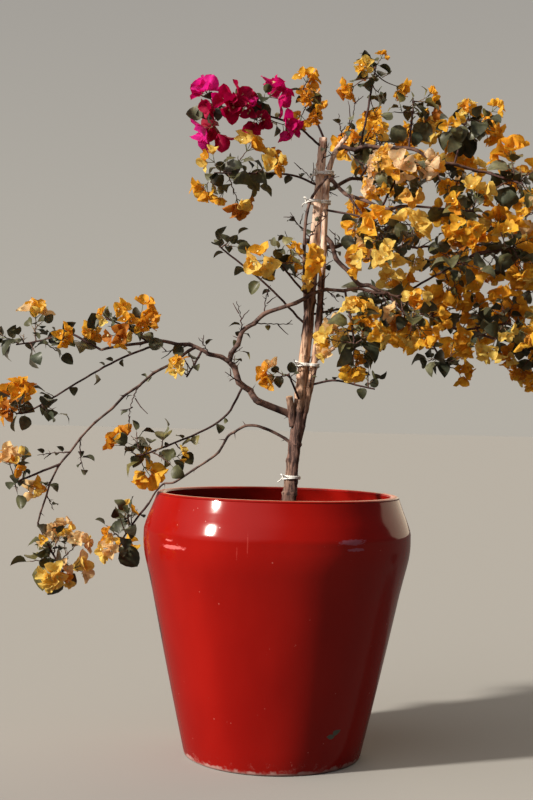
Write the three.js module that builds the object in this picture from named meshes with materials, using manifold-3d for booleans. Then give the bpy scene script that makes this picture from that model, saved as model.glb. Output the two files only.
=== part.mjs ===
// A bougainvillea bush in a glazed pot. Its stems are bundled into a leaning trunk, one long arching
// limb hangs out to the left, and the flowering crown spreads to the right, with sky between its sprays.
// Millimetres, +Z up, +X to the right as seen from the front, +Y to the back. The origin is the middle
// of the pot's underside.
import * as THREE from "three";
import { mergeVertices } from "three/addons/utils/BufferGeometryUtils.js";
import Module from "manifold-3d";

const wasm = await Module();
wasm.setup();

const { Vector3 } = THREE;
const GAP = 0.3; // clear space between two pieces that meet
const point = ([x, y, z]) => new Vector3(x, y, z);

// Colours and finishes
const finish = (color, roughness) => new THREE.MeshStandardMaterial({ color, roughness, metalness: 0 });
const GLAZE = finish(0xa81c16, 0.15);
const SOIL = finish(0x3a2a20, 0.95);
const BARK = finish(0x5e4a40, 0.85);
const TWINE = finish(0xd8d6d2, 0.7);
const LEAF = finish(0x55603f, 0.6);
const GOLD = finish(0xe09a1e, 0.65);
const PEACH = finish(0xe2a873, 0.65);
const MAGENTA = finish(0xc0105c, 0.6);

// Repeatable chance: one seed and one place always give the same number, from 0 to 1
function chance(seed, place) {
  let h = (Math.imul(seed, 374761393) + Math.imul(place, 668265263)) | 0;
  h = Math.imul(h ^ (h >>> 13), 1274126177);
  return ((h ^ (h >>> 16)) >>> 0) / 4294967296;
}

// A closed geometry as a solid, and a solid as a geometry
function toSolid(geometry) {
  const plain = geometry.clone();
  plain.deleteAttribute("normal");
  plain.deleteAttribute("uv");
  const merged = mergeVertices(plain, 1e-4);
  return new wasm.Manifold(
    new wasm.Mesh({
      numProp: 3,
      vertProperties: new Float32Array(merged.attributes.position.array),
      triVerts: new Uint32Array(merged.index.array),
    }),
  );
}

function toGeometry(solid) {
  const mesh = solid.getMesh();
  const geometry = new THREE.BufferGeometry();
  geometry.setAttribute("position", new THREE.BufferAttribute(new Float32Array(mesh.vertProperties), 3));
  geometry.setIndex(new THREE.BufferAttribute(new Uint32Array(mesh.triVerts), 1));
  geometry.computeVertexNormals();
  return geometry;
}

// Loose scraps that a cut leaves are dropped
const largest = (solid) => solid.decompose().reduce((a, b) => (a.volume() > b.volume() ? a : b));

const plant = new THREE.Group();
function addNode(name, geometry, material) {
  const mesh = new THREE.Mesh(geometry, material);
  mesh.name = name;
  plant.add(mesh);
}

// The pot: a thick glazed wall that widens to a round shoulder and draws in to the mouth
const POT = {
  height: 486,
  foot: 166,
  bulge: 2, // how far the lower wall swells past a straight line, at its control point
  wallTop: [244, 358], // radius and height where the lower wall meets the shoulder
  shoulder: [250, 402],
  neck: [230, 478],
  mouth: 227,
  wall: 15,
  floor: 18,
  soilBelowRim: 50,
  sides: 32,
};
const SOIL_TOP = POT.height - POT.soilBelowRim;

// Outer wall from the foot to the neck, as [radius, height] points
const outerWall = (() => {
  const [wallR, wallZ] = POT.wallTop;
  const [shoulderR, shoulderZ] = POT.shoulder;
  const [neckR, neckZ] = POT.neck;
  const path = new THREE.Path();
  path.moveTo(POT.foot, 5);
  path.quadraticCurveTo((POT.foot + wallR) / 2 + POT.bulge, wallZ / 2, wallR, wallZ);
  path.quadraticCurveTo(shoulderR, shoulderZ - 22, shoulderR, shoulderZ);
  path.quadraticCurveTo(shoulderR - 2, shoulderZ + 26, neckR, neckZ);
  return path.getPoints(3);
})();

const innerWall = outerWall.filter((p, i) => i % 2 === 1);

// Outer radius at a height, from the wall's own points
function potRadius(z) {
  const above = outerWall.findIndex((p) => p.y >= z);
  if (above <= 0) return above === 0 ? POT.foot : POT.mouth;
  const [a, b] = [outerWall[above - 1], outerWall[above]];
  return a.x + ((b.x - a.x) * (z - a.y)) / (b.y - a.y);
}

const turned = (profile) => {
  const geometry = new THREE.LatheGeometry(profile, POT.sides);
  geometry.rotateX(Math.PI / 2);
  return geometry;
};
const flat = (radius, height) => new THREE.Vector2(radius, height);

function makePot() {
  addNode(
    "pot",
    turned([
      flat(0, 0),
      flat(POT.foot - 5, 0),
      ...outerWall,
      flat(POT.mouth, POT.height - 3),
      flat(POT.mouth - POT.wall / 2, POT.height),
      ...innerWall.toReversed().map((p) => flat(p.x - POT.wall, p.y)),
      flat(POT.foot - POT.wall, POT.floor),
      flat(0, POT.floor),
    ]),
    GLAZE,
  );
}

function makeSoil() {
  addNode(
    "soil",
    turned([
      flat(0, POT.floor + GAP),
      flat(POT.foot - POT.wall - 2 * GAP, POT.floor + GAP),
      ...innerWall.filter((p) => p.y < SOIL_TOP).map((p) => flat(p.x - POT.wall - GAP, p.y)),
      flat(potRadius(SOIL_TOP) - POT.wall - 2 * GAP, SOIL_TOP),
      flat(0, SOIL_TOP),
    ]),
    SOIL,
  );
}

// A cylinder bent along a curve, with its own radius all the way
function bentTube(curve, radiusAt, sides, steps) {
  const centres = Array.from({ length: steps + 1 }, (_, i) => curve.getPoint(i / steps));
  const tangents = centres.map((_, i) => curve.getTangent(i / steps));
  const across = [];
  let side = Math.abs(tangents[0].y) < 0.9 ? new Vector3(0, 1, 0) : new Vector3(1, 0, 0);
  for (const tangent of tangents) {
    side = side.clone().addScaledVector(tangent, -side.dot(tangent)).normalize();
    across.push([side, new Vector3().crossVectors(tangent, side)]);
  }
  const geometry = new THREE.CylinderGeometry(1, 1, 1, sides, steps);
  const spots = geometry.attributes.position;
  for (let i = 0; i < spots.count; i++) {
    const ring = Math.round((spots.getY(i) + 0.5) * steps);
    const radius = radiusAt(ring / steps);
    const [u, v] = across[ring];
    const spot = centres[ring]
      .clone()
      .addScaledVector(u, spots.getZ(i) * radius)
      .addScaledVector(v, spots.getX(i) * radius);
    spots.setXYZ(i, spot.x, spot.y, spot.z);
  }
  return toSolid(geometry);
}

const between = ([from, to], share) => from + (to - from) * share;
const taper = (from, to) => (t) => between([from, to], t);

// Where the trunk stands, and how its foot flares out over the soil
const TRUNK = { foot: [18, 0], sunk: 6, radii: [12, 7.5], flare: 8, flareHeight: 0.035 };
const trunkRadius = (t) => between(TRUNK.radii, t) + TRUNK.flare * Math.exp(-t / TRUNK.flareHeight);

// The limbs. Each grows from a share of the way along its parent, through the points it needs, to its
// tip, and tapers from its first radius to its second.
const LIMBS = {
  trunk: { through: [[46, -2, 778], [70, 0, 1158]], sides: 8, steps: 12 },
  stem_right: {
    from: ["trunk", 0.17],
    through: [[63, -5, 740], [73, -8, 910], [81, -10, 1095], [117, -10, 1168]],
    radii: [7.4, 4.2],
    steps: 12,
  },
  stem_left: {
    from: ["trunk", 0.5],
    through: [[38, -19, 940], [45, -22, 1028], [78, -25, 1082]],
    radii: [3.4, 2.4],
  },
  arch_root: {
    from: ["trunk", 0.28],
    through: [[-42, -20, 662], [-70, -26, 687], [-97, -30, 729]],
    radii: [6.8, 5],
  },
  arch_over: {
    from: ["arch_root", 1],
    through: [[-76, -31, 778], [-42, -33, 812], [63, -35, 863]],
    radii: [4.8, 3.6],
  },
  arch_over_end: {
    from: ["arch_over", 1],
    through: [[127, -48, 868], [190, -62, 861]],
    radii: [3.5, 2.4],
    steps: 5,
  },
  arch_left: {
    from: ["arch_root", 1],
    through: [[-163, -36, 755], [-240, -32, 764], [-337, -22, 746]],
    radii: [4.3, 2.4],
    steps: 9,
  },
  whip_high: {
    from: ["arch_left", 0.32],
    through: [[-261, -60, 682], [-351, -72, 597]],
    radii: [2.7, 2.1],
    steps: 6,
  },
  whip_low: {
    from: ["whip_high", 1],
    through: [[-408, -78, 517], [-436, -82, 425]],
    radii: [2.1, 1.6],
    steps: 5,
  },
  twig_over_rim: {
    from: ["trunk", 0.21],
    through: [
      [-36, 4, 611], [-90, 18, 597], [-120, 34, 555],
      [-193, 60, 503], [-227, 70, 490], [-249, 72, 456],
    ],
    radii: [2.8, 1.6],
    steps: 11,
  },
  bough_high: {
    from: ["stem_right", 0.86],
    through: [[138, -12, 1138], [222, -20, 1138], [290, -24, 1112], [372, -8, 1100], [436, 14, 1078]],
    radii: [4.4, 2.2],
    steps: 10,
  },
  bough_high_back: {
    from: ["trunk", 0.86],
    through: [[122, 62, 1090], [185, 118, 1112]],
    radii: [4.2, 2.6],
    steps: 6,
  },
  bough_mid: {
    from: ["stem_right", 0.72],
    through: [[122, -18, 1048], [180, -44, 1022], [236, -66, 1022]],
    radii: [4, 2.4],
  },
  bough_mid_back: {
    from: ["trunk", 0.72],
    through: [[130, 58, 968], [220, 112, 968], [280, 128, 975]],
    radii: [4.2, 2.4],
    steps: 7,
  },
  bough_low: {
    from: ["stem_right", 0.58],
    through: [[131, -11, 892], [205, -20, 862], [318, -12, 806], [410, 10, 788]],
    radii: [4.6, 2.4],
    steps: 10,
  },
  bough_far: {
    from: ["bough_low", 0.66],
    through: [[322, 2, 884], [346, 6, 936], [420, 12, 962]],
    radii: [3.2, 2],
    steps: 7,
  },
};

// Pruned stumps that stand on two of the limbs
const STUMPS = {
  trunk: { root: [26, -2, 612], tip: [17, -13, 668], radii: [7.5, 6] },
  stem_right: { root: [62, -4, 737], tip: [99, -4, 762], radii: [4.6, 3.8] },
};

const curves = {};
const NONE = new Vector3();
// Space that is already used: a line from a to b, as thick as radius and as broad as u and v to its sides
const taken = [];
function use(owner, kind, a, b, radius, u = NONE, v = NONE) {
  taken.push({ owner, kind, a, b, radius, u, v });
}

function useTube(owner, kind, curve, radiusAt, steps) {
  for (let i = 0; i < steps; i++) {
    const radius = Math.max(radiusAt(i / steps), radiusAt((i + 1) / steps));
    use(owner, kind, curve.getPoint(i / steps), curve.getPoint((i + 1) / steps), radius);
  }
}

function makeLimbs() {
  let before = null; // what stands so far, grown by the gap
  for (const [name, limb] of Object.entries(LIMBS)) {
    const sides = limb.sides ?? 5;
    const steps = limb.steps ?? 6;
    const ground = [...TRUNK.foot, SOIL_TOP - TRUNK.sunk];
    const root = limb.from ? curves[limb.from[0]].getPoint(limb.from[1]) : point(ground);
    const curve = new THREE.CatmullRomCurve3([root, ...limb.through.map(point)], false, "catmullrom");
    curves[name] = curve;
    const radiusAt = name === "trunk" ? trunkRadius : taper(...limb.radii);
    const grown = (t) => radiusAt(t) + GAP;
    useTube(name, "wood", curve, radiusAt, steps);
    let solid = bentTube(curve, radiusAt, sides, steps);
    let cutter = bentTube(curve, grown, sides, steps);
    const stump = STUMPS[name];
    if (stump) {
      const line = new THREE.LineCurve3(point(stump.root), point(stump.tip));
      useTube(name, "wood", line, taper(...stump.radii), 1);
      solid = solid.add(bentTube(line, taper(...stump.radii), 6, 1));
      cutter = cutter.add(bentTube(line, taper(...stump.radii.map((r) => r + GAP)), 6, 1));
    }
    solid = before ? largest(solid.subtract(before)) : solid.trimByPlane([0, 0, 1], SOIL_TOP + GAP);
    before = before ? before.add(cutter) : cutter;
    addNode(name, toGeometry(solid), BARK);
  }
  return before;
}

// Ties of twine round the bundled stems: each hugs the trunk and the stems beside it at its height. A
// tie is shaped from a plain ring of radius 1 with a thin tube.
const TIES = [516, 728, 1034, 1090];
const TWINE_RADIUS = 2.6;
const TIE_SLACK = 1.6; // between the twine and the bark
const RING_TUBE = 0.1;
const TIED = ["trunk", "stem_right", "stem_left"];

function makeTies() {
  TIES.forEach((height, number) => {
    const near = taken.filter((c) => TIED.includes(c.owner) && c.a.z <= height && c.b.z > height);
    const discs = near.map((c) => {
      const share = (height - c.a.z) / (c.b.z - c.a.z);
      return { middle: c.a.clone().lerp(c.b, share), radius: c.radius };
    });
    const centre = discs.reduce((sum, d) => sum.addScaledVector(d.middle, 1 / discs.length), new Vector3());
    const ring = new THREE.TorusGeometry(1, RING_TUBE, 4, 16);
    const spots = ring.attributes.position;
    for (let i = 0; i < spots.count; i++) {
      const facing = new Vector3(spots.getX(i), spots.getY(i), 0).normalize();
      const reach = Math.max(...discs.map((d) => d.middle.clone().sub(centre).dot(facing) + d.radius));
      const out = ((Math.hypot(spots.getX(i), spots.getY(i)) - 1) / RING_TUBE) * TWINE_RADIUS;
      const spot = centre.clone().addScaledVector(facing, reach + TWINE_RADIUS + TIE_SLACK + out);
      spots.setXYZ(i, spot.x, spot.y, height + (spots.getZ(i) / RING_TUBE) * TWINE_RADIUS);
    }
    const half = Math.max(...discs.map((d) => d.middle.distanceTo(centre) + d.radius)) + 3 * TWINE_RADIUS;
    use("tie", "twine", centre, centre, TWINE_RADIUS, new Vector3(half, 0, 0), new Vector3(0, half, 0));
    addNode(`tie_${number + 1}`, toGeometry(toSolid(ring)), TWINE);
  });
}

// The masses of foliage. Each fills an ellipsoid, given by its middle and half sizes, and hangs on one
// stem that leaves a limb at a share of the way along it. blooms is the share of its twigs that flower.
const MASSES = {
  spray_low_front: {
    on: ["arch_over_end", 0.4],
    middle: [126, -108, 784],
    size: [58, 52, 62],
    twigs: 7,
    blooms: 0.9,
  },
  spray_arch_end: {
    on: ["arch_over_end", 1],
    middle: [222, -112, 818],
    size: [56, 56, 56],
    twigs: 7,
    blooms: 0.8,
  },
  spray_mid_low: {
    on: ["bough_mid", 0.28],
    middle: [186, -98, 940],
    size: [60, 56, 58],
    twigs: 7,
    blooms: 0.6,
  },
  spray_pale: {
    on: ["bough_mid", 0.66],
    middle: [203, -96, 1074],
    size: [58, 56, 54],
    twigs: 7,
    blooms: 1,
    tint: PEACH,
  },
  spray_mid_tip: {
    on: ["bough_mid", 1],
    middle: [306, -108, 1010],
    size: [60, 62, 58],
    twigs: 7,
    blooms: 0.7,
  },
  spray_low_mid: {
    on: ["bough_low", 0.52],
    middle: [292, -104, 902],
    size: [62, 60, 56],
    twigs: 7,
    blooms: 0.7,
  },
  spray_twiggy: {
    on: ["bough_low", 0.6],
    middle: [300, 24, 752],
    size: [54, 46, 40],
    twigs: 5,
    blooms: 0.2,
    tint: LEAF,
  },
  spray_low_tip: {
    on: ["bough_low", 0.8],
    middle: [388, -76, 806],
    size: [60, 60, 60],
    twigs: 7,
    blooms: 0.7,
  },
  spray_back_tip: {
    on: ["bough_low", 0.9],
    middle: [372, 128, 842],
    size: [74, 66, 62],
    twigs: 7,
    blooms: 0.6,
  },
  spray_right_low: {
    on: ["bough_low", 1],
    middle: [480, 26, 770],
    size: [58, 62, 56],
    twigs: 7,
    blooms: 0.7,
  },
  spray_far_front: {
    on: ["bough_far", 0.72],
    middle: [398, -86, 944],
    size: [60, 64, 62],
    twigs: 7,
    blooms: 0.8,
  },
  spray_right: {
    on: ["bough_far", 1],
    middle: [506, 10, 912],
    size: [66, 78, 68],
    twigs: 7,
    blooms: 0.8,
  },
  spray_crest: {
    on: ["bough_high", 0.2],
    middle: [160, -2, 1262],
    size: [52, 40, 58],
    twigs: 6,
    blooms: 0.5,
  },
  spray_high_left: {
    on: ["bough_high", 0.42],
    middle: [236, -4, 1206],
    size: [56, 54, 48],
    twigs: 7,
    blooms: 0.5,
  },
  spray_high_mid: {
    on: ["bough_high", 0.66],
    middle: [336, 6, 1184],
    size: [60, 58, 48],
    twigs: 7,
    blooms: 0.5,
  },
  spray_high_tip: {
    on: ["bough_high", 0.82],
    middle: [412, -74, 1072],
    size: [62, 62, 60],
    twigs: 7,
    blooms: 0.7,
  },
  spray_right_high: {
    on: ["bough_high", 1],
    middle: [500, 40, 1052],
    size: [62, 72, 66],
    twigs: 7,
    blooms: 0.7,
  },
  spray_by_stem: {
    on: ["stem_right", 0.64],
    middle: [134, -52, 1004],
    size: [42, 34, 56],
    twigs: 4,
    blooms: 0.3,
    tint: LEAF,
  },
  spray_back_high: {
    on: ["bough_high_back", 0.7],
    middle: [186, 176, 1176],
    size: [72, 66, 60],
    twigs: 7,
    blooms: 0.6,
  },
  spray_back_top: {
    on: ["bough_high_back", 1],
    middle: [320, 146, 1112],
    size: [70, 66, 60],
    twigs: 7,
    blooms: 0.6,
  },
  spray_back_mid: {
    on: ["bough_mid_back", 0.66],
    middle: [196, 196, 1020],
    size: [72, 66, 66],
    twigs: 7,
    blooms: 0.7,
  },
  spray_back_right: {
    on: ["bough_mid_back", 1],
    middle: [376, 156, 984],
    size: [72, 68, 68],
    twigs: 7,
    blooms: 0.7,
  },
  spray_back_low: {
    on: ["trunk", 0.56],
    middle: [206, 146, 868],
    size: [72, 66, 62],
    twigs: 7,
    blooms: 0.6,
  },
  spray_by_trunk: {
    on: ["trunk", 0.6],
    middle: [-2, -50, 906],
    size: [62, 36, 50],
    twigs: 6,
    blooms: 0.7,
  },
  sprig_leaves: {
    on: ["trunk", 0.53],
    via: [-28, -24, 872],
    middle: [-104, -38, 930],
    size: [40, 32, 44],
    twigs: 4,
    blooms: 0,
    tint: LEAF,
  },
  spray_left_high: {
    on: ["trunk", 0.88],
    via: [8, -24, 1082],
    middle: [-92, -36, 1080],
    size: [70, 42, 56],
    twigs: 7,
    blooms: 0.6,
  },
  magenta_spray: {
    on: ["trunk", 0.975],
    via: [10, -22, 1178],
    middle: [-82, -36, 1198],
    size: [106, 46, 54],
    twigs: 7,
    blooms: 0.7,
    tint: MAGENTA,
  },
  top_spray: { on: ["trunk", 1], middle: [38, -12, 1224], size: [42, 36, 42], twigs: 6, blooms: 0.6 },
  arch_near: {
    on: ["arch_left", 0.26],
    middle: [-164, -52, 716],
    size: [42, 34, 36],
    twigs: 4,
    blooms: 0.3,
    tint: LEAF,
  },
  arch_mid: {
    on: ["arch_left", 0.7],
    middle: [-292, -34, 790],
    size: [72, 38, 46],
    twigs: 7,
    blooms: 0.6,
  },
  arch_tip: {
    on: ["arch_left", 1],
    via: [-404, -20, 778],
    middle: [-448, -14, 762],
    size: [90, 38, 46],
    twigs: 7,
    blooms: 0.2,
    tint: LEAF,
  },
  shaded_spray: {
    on: ["arch_left", 0.58],
    via: [-324, 14, 722],
    middle: [-472, 48, 634],
    size: [70, 36, 38],
    twigs: 7,
    blooms: 0.3,
    tint: LEAF,
  },
  whip_side: {
    on: ["whip_low", 0.4],
    middle: [-462, -84, 506],
    size: [36, 32, 42],
    twigs: 5,
    blooms: 0.5,
  },
  whip_end: { on: ["whip_low", 1], middle: [-404, -86, 366], size: [60, 42, 54], twigs: 7, blooms: 0.7 },
  lower_spray: {
    on: ["arch_root", 0.66],
    via: [-112, -44, 618],
    middle: [-228, -72, 562],
    size: [68, 38, 44],
    twigs: 7,
    blooms: 0.6,
  },
  beside_pot: {
    on: ["twig_over_rim", 1],
    middle: [-288, 72, 402],
    size: [48, 40, 66],
    twigs: 7,
    blooms: 0.4,
    tint: LEAF,
  },
  sprig_right: {
    on: ["trunk", 0.37],
    via: [98, -12, 700],
    middle: [150, -22, 690],
    size: [44, 36, 44],
    twigs: 4,
    blooms: 0,
    tint: LEAF,
  },
  sprig_front: {
    on: ["trunk", 0.33],
    middle: [20, -54, 694],
    size: [42, 34, 44],
    twigs: 4,
    blooms: 0.7,
  },
};

const FOLIAGE = {
  stemRadii: [3, 1.9],
  stemReach: 0.6, // how far a stem runs past the middle, as a share of the half size
  firstTwig: 0.34, // of the way along the stem
  firstTwigOnBentStem: 0.52,
  twigRadius: 1.2,
  twigTaper: 0.4, // of its radius, lost by its end
  twigReach: [0.65, 0.95], // of the half size, from least to most
  tries: 5, // directions tried for a twig that would crowd something
  turnBetweenTries: 0.9,
  ringSpacing: 17, // between the leaves along a twig
  mostRings: 4,
  sizes: [0.8, 1.15], // of the full size, from least to most
  smallerEnds: [1, 0.85, 0.7], // tried in turn where a twig's end would crowd something
  leafLength: 52,
  leafForward: 0.35, // lean of a leaf towards its twig's end
  leafDroop: 0.2, // of its length
  leafRoom: 1.5, // how far out of its mass's space a leaf may reach
  endLeafWidth: 0.74, // of its length
  endLeafWidest: 0.4, // of the way along it
  endRoom: 1.6,
  blossomReach: 36, // from the middle of a blossom to the tip of a bract
  blossomCup: 0.42, // rise of a bract's tip, as a share of its reach
  ownRoom: 0.5, // how near the parts of one mass may come, as a share of the room others need
};
// Places in a mass's own row of chances
const DRAW = { turn: 0, twigReach: 10, roll: 40, flowers: 70, leafSize: 100, endSize: 300 };
const FIRST_SEED = 100;
const GOLDEN_TURN = Math.PI * (3 - Math.sqrt(5));

// Even directions over a sphere, turned by the seed
function direction(number, count, turn) {
  const z = 1 - (2 * number + 1) / count;
  const across = Math.sqrt(1 - z * z);
  const angle = number * GOLDEN_TURN + turn;
  return new Vector3(across * Math.cos(angle), across * Math.sin(angle), z);
}

// The line between the nearest points of two pieces of used space
function nearestLine(p, q) {
  const [d1, d2] = [p.b.clone().sub(p.a), q.b.clone().sub(q.a)];
  const r = p.a.clone().sub(q.a);
  const [a, b, c, e, f] = [d1.dot(d1), d1.dot(d2), d1.dot(r), d2.dot(d2), d2.dot(r)];
  const clamp = (v) => Math.min(1, Math.max(0, v));
  const spread = a * e - b * b;
  let s = spread > 1e-6 ? clamp((b * f - c * e) / spread) : 0;
  let t = e > 1e-6 ? (b * s + f) / e : 0;
  if (t < 0 || t > 1) {
    t = clamp(t);
    s = a > 1e-6 ? clamp((b * t - c) / a) : 0;
  }
  return p.a.clone().addScaledVector(d1, s).sub(q.a).addScaledVector(d2, -t);
}

// How far a piece of used space reaches from its line in a direction
const reachOf = (item, way) => item.radius + Math.hypot(way.dot(item.u), way.dot(item.v));

const clearOfPot = (spot) =>
  spot.z > POT.height + 3 || Math.hypot(spot.x, spot.y) > potRadius(spot.z) + 3;

// Whether an item keeps clear of the pot and of everything used. Its own mass may come nearer to it.
function isClear(item) {
  const edges = [item.a, item.b, item.b.clone().add(item.u), item.b.clone().sub(item.u)];
  if (!edges.every(clearOfPot)) return false;
  return taken.every((other) => {
    const own = other.owner === item.owner;
    if (own && other.kind === "wood" && item.kind === "wood") return true;
    const line = nearestLine(item, other);
    const apart = line.length();
    const way = line.divideScalar(apart || 1);
    return apart > (reachOf(item, way) + reachOf(other, way)) * (own ? FOLIAGE.ownRoom : 1) + 2 * GAP;
  });
}

// The stem of a mass: from its limb's middle line, through its middle, towards its far side
function stemOf(mass) {
  const root = curves[mass.on[0]].getPoint(mass.on[1]);
  const middle = point(mass.middle);
  const before = mass.via ? point(mass.via) : root;
  const onward = middle.clone().sub(before).normalize().multiply(point(mass.size));
  const end = middle.clone().addScaledVector(onward, FOLIAGE.stemReach);
  const stops = mass.via ? [root, before, middle, end] : [root, middle, end];
  return new THREE.CatmullRomCurve3(stops, false, "catmullrom");
}

const THIRD = (2 * Math.PI) / 3;
const SIDE_CORNER = 0.866; // how far out the side corners of a three-sided ring of radius 1 stand

// A direction to the side of a twig, at an angle round it
const around = (twig, angle) =>
  twig.side.clone().multiplyScalar(Math.sin(angle)).addScaledVector(twig.top, Math.cos(angle));

function twigItem(owner, a, b, roll) {
  const heading = b.clone().sub(a).normalize();
  const side = new Vector3(0.3, 0.2, 1).cross(heading).normalize().applyAxisAngle(heading, roll);
  const top = new Vector3().crossVectors(side, heading);
  return { owner, kind: "wood", a, b, radius: FOLIAGE.twigRadius, u: NONE, v: NONE, heading, side, top };
}

// A leaf beside its twig: its foot runs along the twig, from one ring before its own to one ring after
function leafItem(twig, ring, rings, length) {
  const a = twig.a.clone().lerp(twig.b, ring / rings);
  const out = around(twig, THIRD * ring).addScaledVector(twig.heading, FOLIAGE.leafForward).setLength(length);
  const b = a.clone().add(out).add(new Vector3(0, 0, -FOLIAGE.leafDroop * length));
  const u = twig.b.clone().sub(twig.a).divideScalar(rings);
  return { owner: twig.owner, kind: "leaf", a, b, radius: FOLIAGE.twigRadius, u, v: NONE };
}

// The leaf that ends a twig without flowers
function endLeafItem(twig, length) {
  const along = twig.heading.clone().setLength(length).add(new Vector3(0, 0, -FOLIAGE.leafDroop * length));
  const u = twig.side.clone().multiplyScalar((FOLIAGE.endLeafWidth * length) / 2);
  const v = new Vector3().crossVectors(u, along).setLength(FOLIAGE.twigRadius);
  return { owner: twig.owner, kind: "leaf", a: twig.b, b: twig.b.clone().add(along), radius: 0, u, v };
}

// A blossom: three papery bracts spread as a cup round the twig's end
function blossomItem(twig, reach) {
  const u = around(twig, THIRD / 2).multiplyScalar(reach);
  const v = around(twig, THIRD / 2 + Math.PI / 2).multiplyScalar(reach);
  const b = twig.b.clone().addScaledVector(twig.heading, FOLIAGE.blossomCup * reach);
  return { owner: twig.owner, kind: "blossom", a: twig.b, b, radius: 2 * FOLIAGE.twigRadius, u, v };
}

// A twig with its leaves and its end as one three-sided lathe whose rings are moved into place. Each
// ring beside a leaf has one of its three corners drawn out to that leaf's tip.
function makeTwig(twig, leaves, end) {
  const last = leaves.length + 1;
  const profile = [flat(0, 0)];
  for (let ring = 0; ring <= last + 1; ring++) profile.push(flat(1, ring));
  profile.push(flat(0, last + 2));
  const geometry = new THREE.LatheGeometry(profile, 3);
  const spots = geometry.attributes.position;
  const bluntTip = twig.b.clone().addScaledVector(twig.heading, 2 * FOLIAGE.twigRadius);
  const tip = end.kind === "leaf" ? end.b : bluntTip;
  for (let i = 0; i < spots.count; i++) {
    const [x, ring, z] = [spots.getX(i), Math.round(spots.getY(i)), spots.getZ(i)];
    const corner = (Math.round(Math.atan2(x, z) / THIRD) + 3) % 3;
    const radius = FOLIAGE.twigRadius * (1 - (FOLIAGE.twigTaper * Math.min(ring, last)) / last);
    const spot = twig.a.clone().lerp(twig.b, Math.min(1, ring / last));
    const leaf = leaves[ring - 1];
    if (leaf && corner === ring % 3) spot.copy(leaf.b);
    else if (ring <= last) spot.addScaledVector(twig.side, x * radius).addScaledVector(twig.top, z * radius);
    else if (ring === last + 2) spot.copy(tip);
    else if (end.kind === "leaf") {
      spot.lerp(end.b, FOLIAGE.endLeafWidest);
      spot.addScaledVector(end.u, x / SIDE_CORNER).addScaledVector(end.v, z);
    } else spot.copy(end.b).addScaledVector(end.u, z).addScaledVector(end.v, x);
    spots.setXYZ(i, spot.x, spot.y, spot.z);
  }
  return toSolid(geometry);
}

function inSpace(mass, spot, room) {
  return spot.clone().sub(point(mass.middle)).divide(point(mass.size)).length() <= room;
}

// A twig of a mass with the end it bears, or null where it would crowd something else
function growTwig(name, mass, seed, number, start, out) {
  const reach = between(FOLIAGE.twigReach, chance(seed, DRAW.twigReach + number));
  const target = point(mass.middle).addScaledVector(out.clone().multiply(point(mass.size)), reach);
  const twig = twigItem(name, start, target, 2 * Math.PI * chance(seed, DRAW.roll + number));
  if (!isClear(twig)) return null;
  const flowers = chance(seed, DRAW.flowers + number) < mass.blooms;
  const size = between(FOLIAGE.sizes, chance(seed, DRAW.endSize + number));
  const ends = FOLIAGE.smallerEnds.map((scale) =>
    flowers
      ? blossomItem(twig, FOLIAGE.blossomReach * size * scale)
      : endLeafItem(twig, FOLIAGE.leafLength * size * scale),
  );
  const end = ends.find((item) => inSpace(mass, item.b, FOLIAGE.endRoom) && isClear(item));
  return end ? { twig, end } : null;
}

// A twig in the first of the directions tried that leaves it room, or null
function tryTwig(name, mass, seed, number, start, turn, lean) {
  for (let attempt = 0; attempt < FOLIAGE.tries; attempt++) {
    const out = direction(number, mass.twigs, turn + FOLIAGE.turnBetweenTries * attempt);
    const grown = growTwig(name, mass, seed, number, start, out.applyQuaternion(lean));
    if (grown) return grown;
  }
  return null;
}

// The leaves along a twig, ring by ring, with null where one would crowd something
function growLeaves(mass, seed, number, twig) {
  const room = Math.round(twig.a.distanceTo(twig.b) / FOLIAGE.ringSpacing);
  const rings = 1 + Math.max(1, Math.min(FOLIAGE.mostRings, room));
  const leaves = [];
  for (let ring = 1; ring < rings; ring++) {
    const size = between(FOLIAGE.sizes, chance(seed, DRAW.leafSize + 10 * number + ring));
    const leaf = leafItem(twig, ring, rings, FOLIAGE.leafLength * size);
    leaves.push(inSpace(mass, leaf.b, FOLIAGE.leafRoom) && isClear(leaf) ? leaf : null);
  }
  return leaves;
}

// One mass: its stem, and the twigs that branch from it with their leaves and blossoms
function growMass(name, mass, seed, limbs) {
  const stem = stemOf(mass);
  const solids = [largest(bentTube(stem, taper(...FOLIAGE.stemRadii), 4, mass.via ? 5 : 4).subtract(limbs))];
  const turn = 2 * Math.PI * chance(seed, DRAW.turn);
  const lean = new THREE.Quaternion().setFromUnitVectors(new Vector3(0, 0, 1), stem.getTangent(1));
  const firstTwig = mass.via ? FOLIAGE.firstTwigOnBentStem : FOLIAGE.firstTwig;
  for (let i = 0; i < mass.twigs; i++) {
    const start = stem.getPoint(1 - (1 - firstTwig) * ((i + 0.5) / mass.twigs));
    const grown = tryTwig(name, mass, seed, i, start, turn, lean);
    if (!grown) continue;
    taken.push(grown.end);
    const leaves = growLeaves(mass, seed, i, grown.twig);
    taken.push(grown.twig, ...leaves.filter(Boolean));
    solids.push(makeTwig(grown.twig, leaves, grown.end));
  }
  addNode(name, toGeometry(largest(wasm.Manifold.union(solids))), mass.tint ?? GOLD);
}

makePot();
makeSoil();
const limbs = makeLimbs();
makeTies();
const masses = Object.entries(MASSES);
masses.forEach(([name, mass]) => useTube(name, "wood", stemOf(mass), taper(...FOLIAGE.stemRadii), 6));
masses.forEach(([name, mass], number) => growMass(name, mass, FIRST_SEED + number, limbs));

export default plant;
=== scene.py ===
import math

import bmesh
import bpy
import numpy as np
from mathutils import Matrix, Vector, noise


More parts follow.
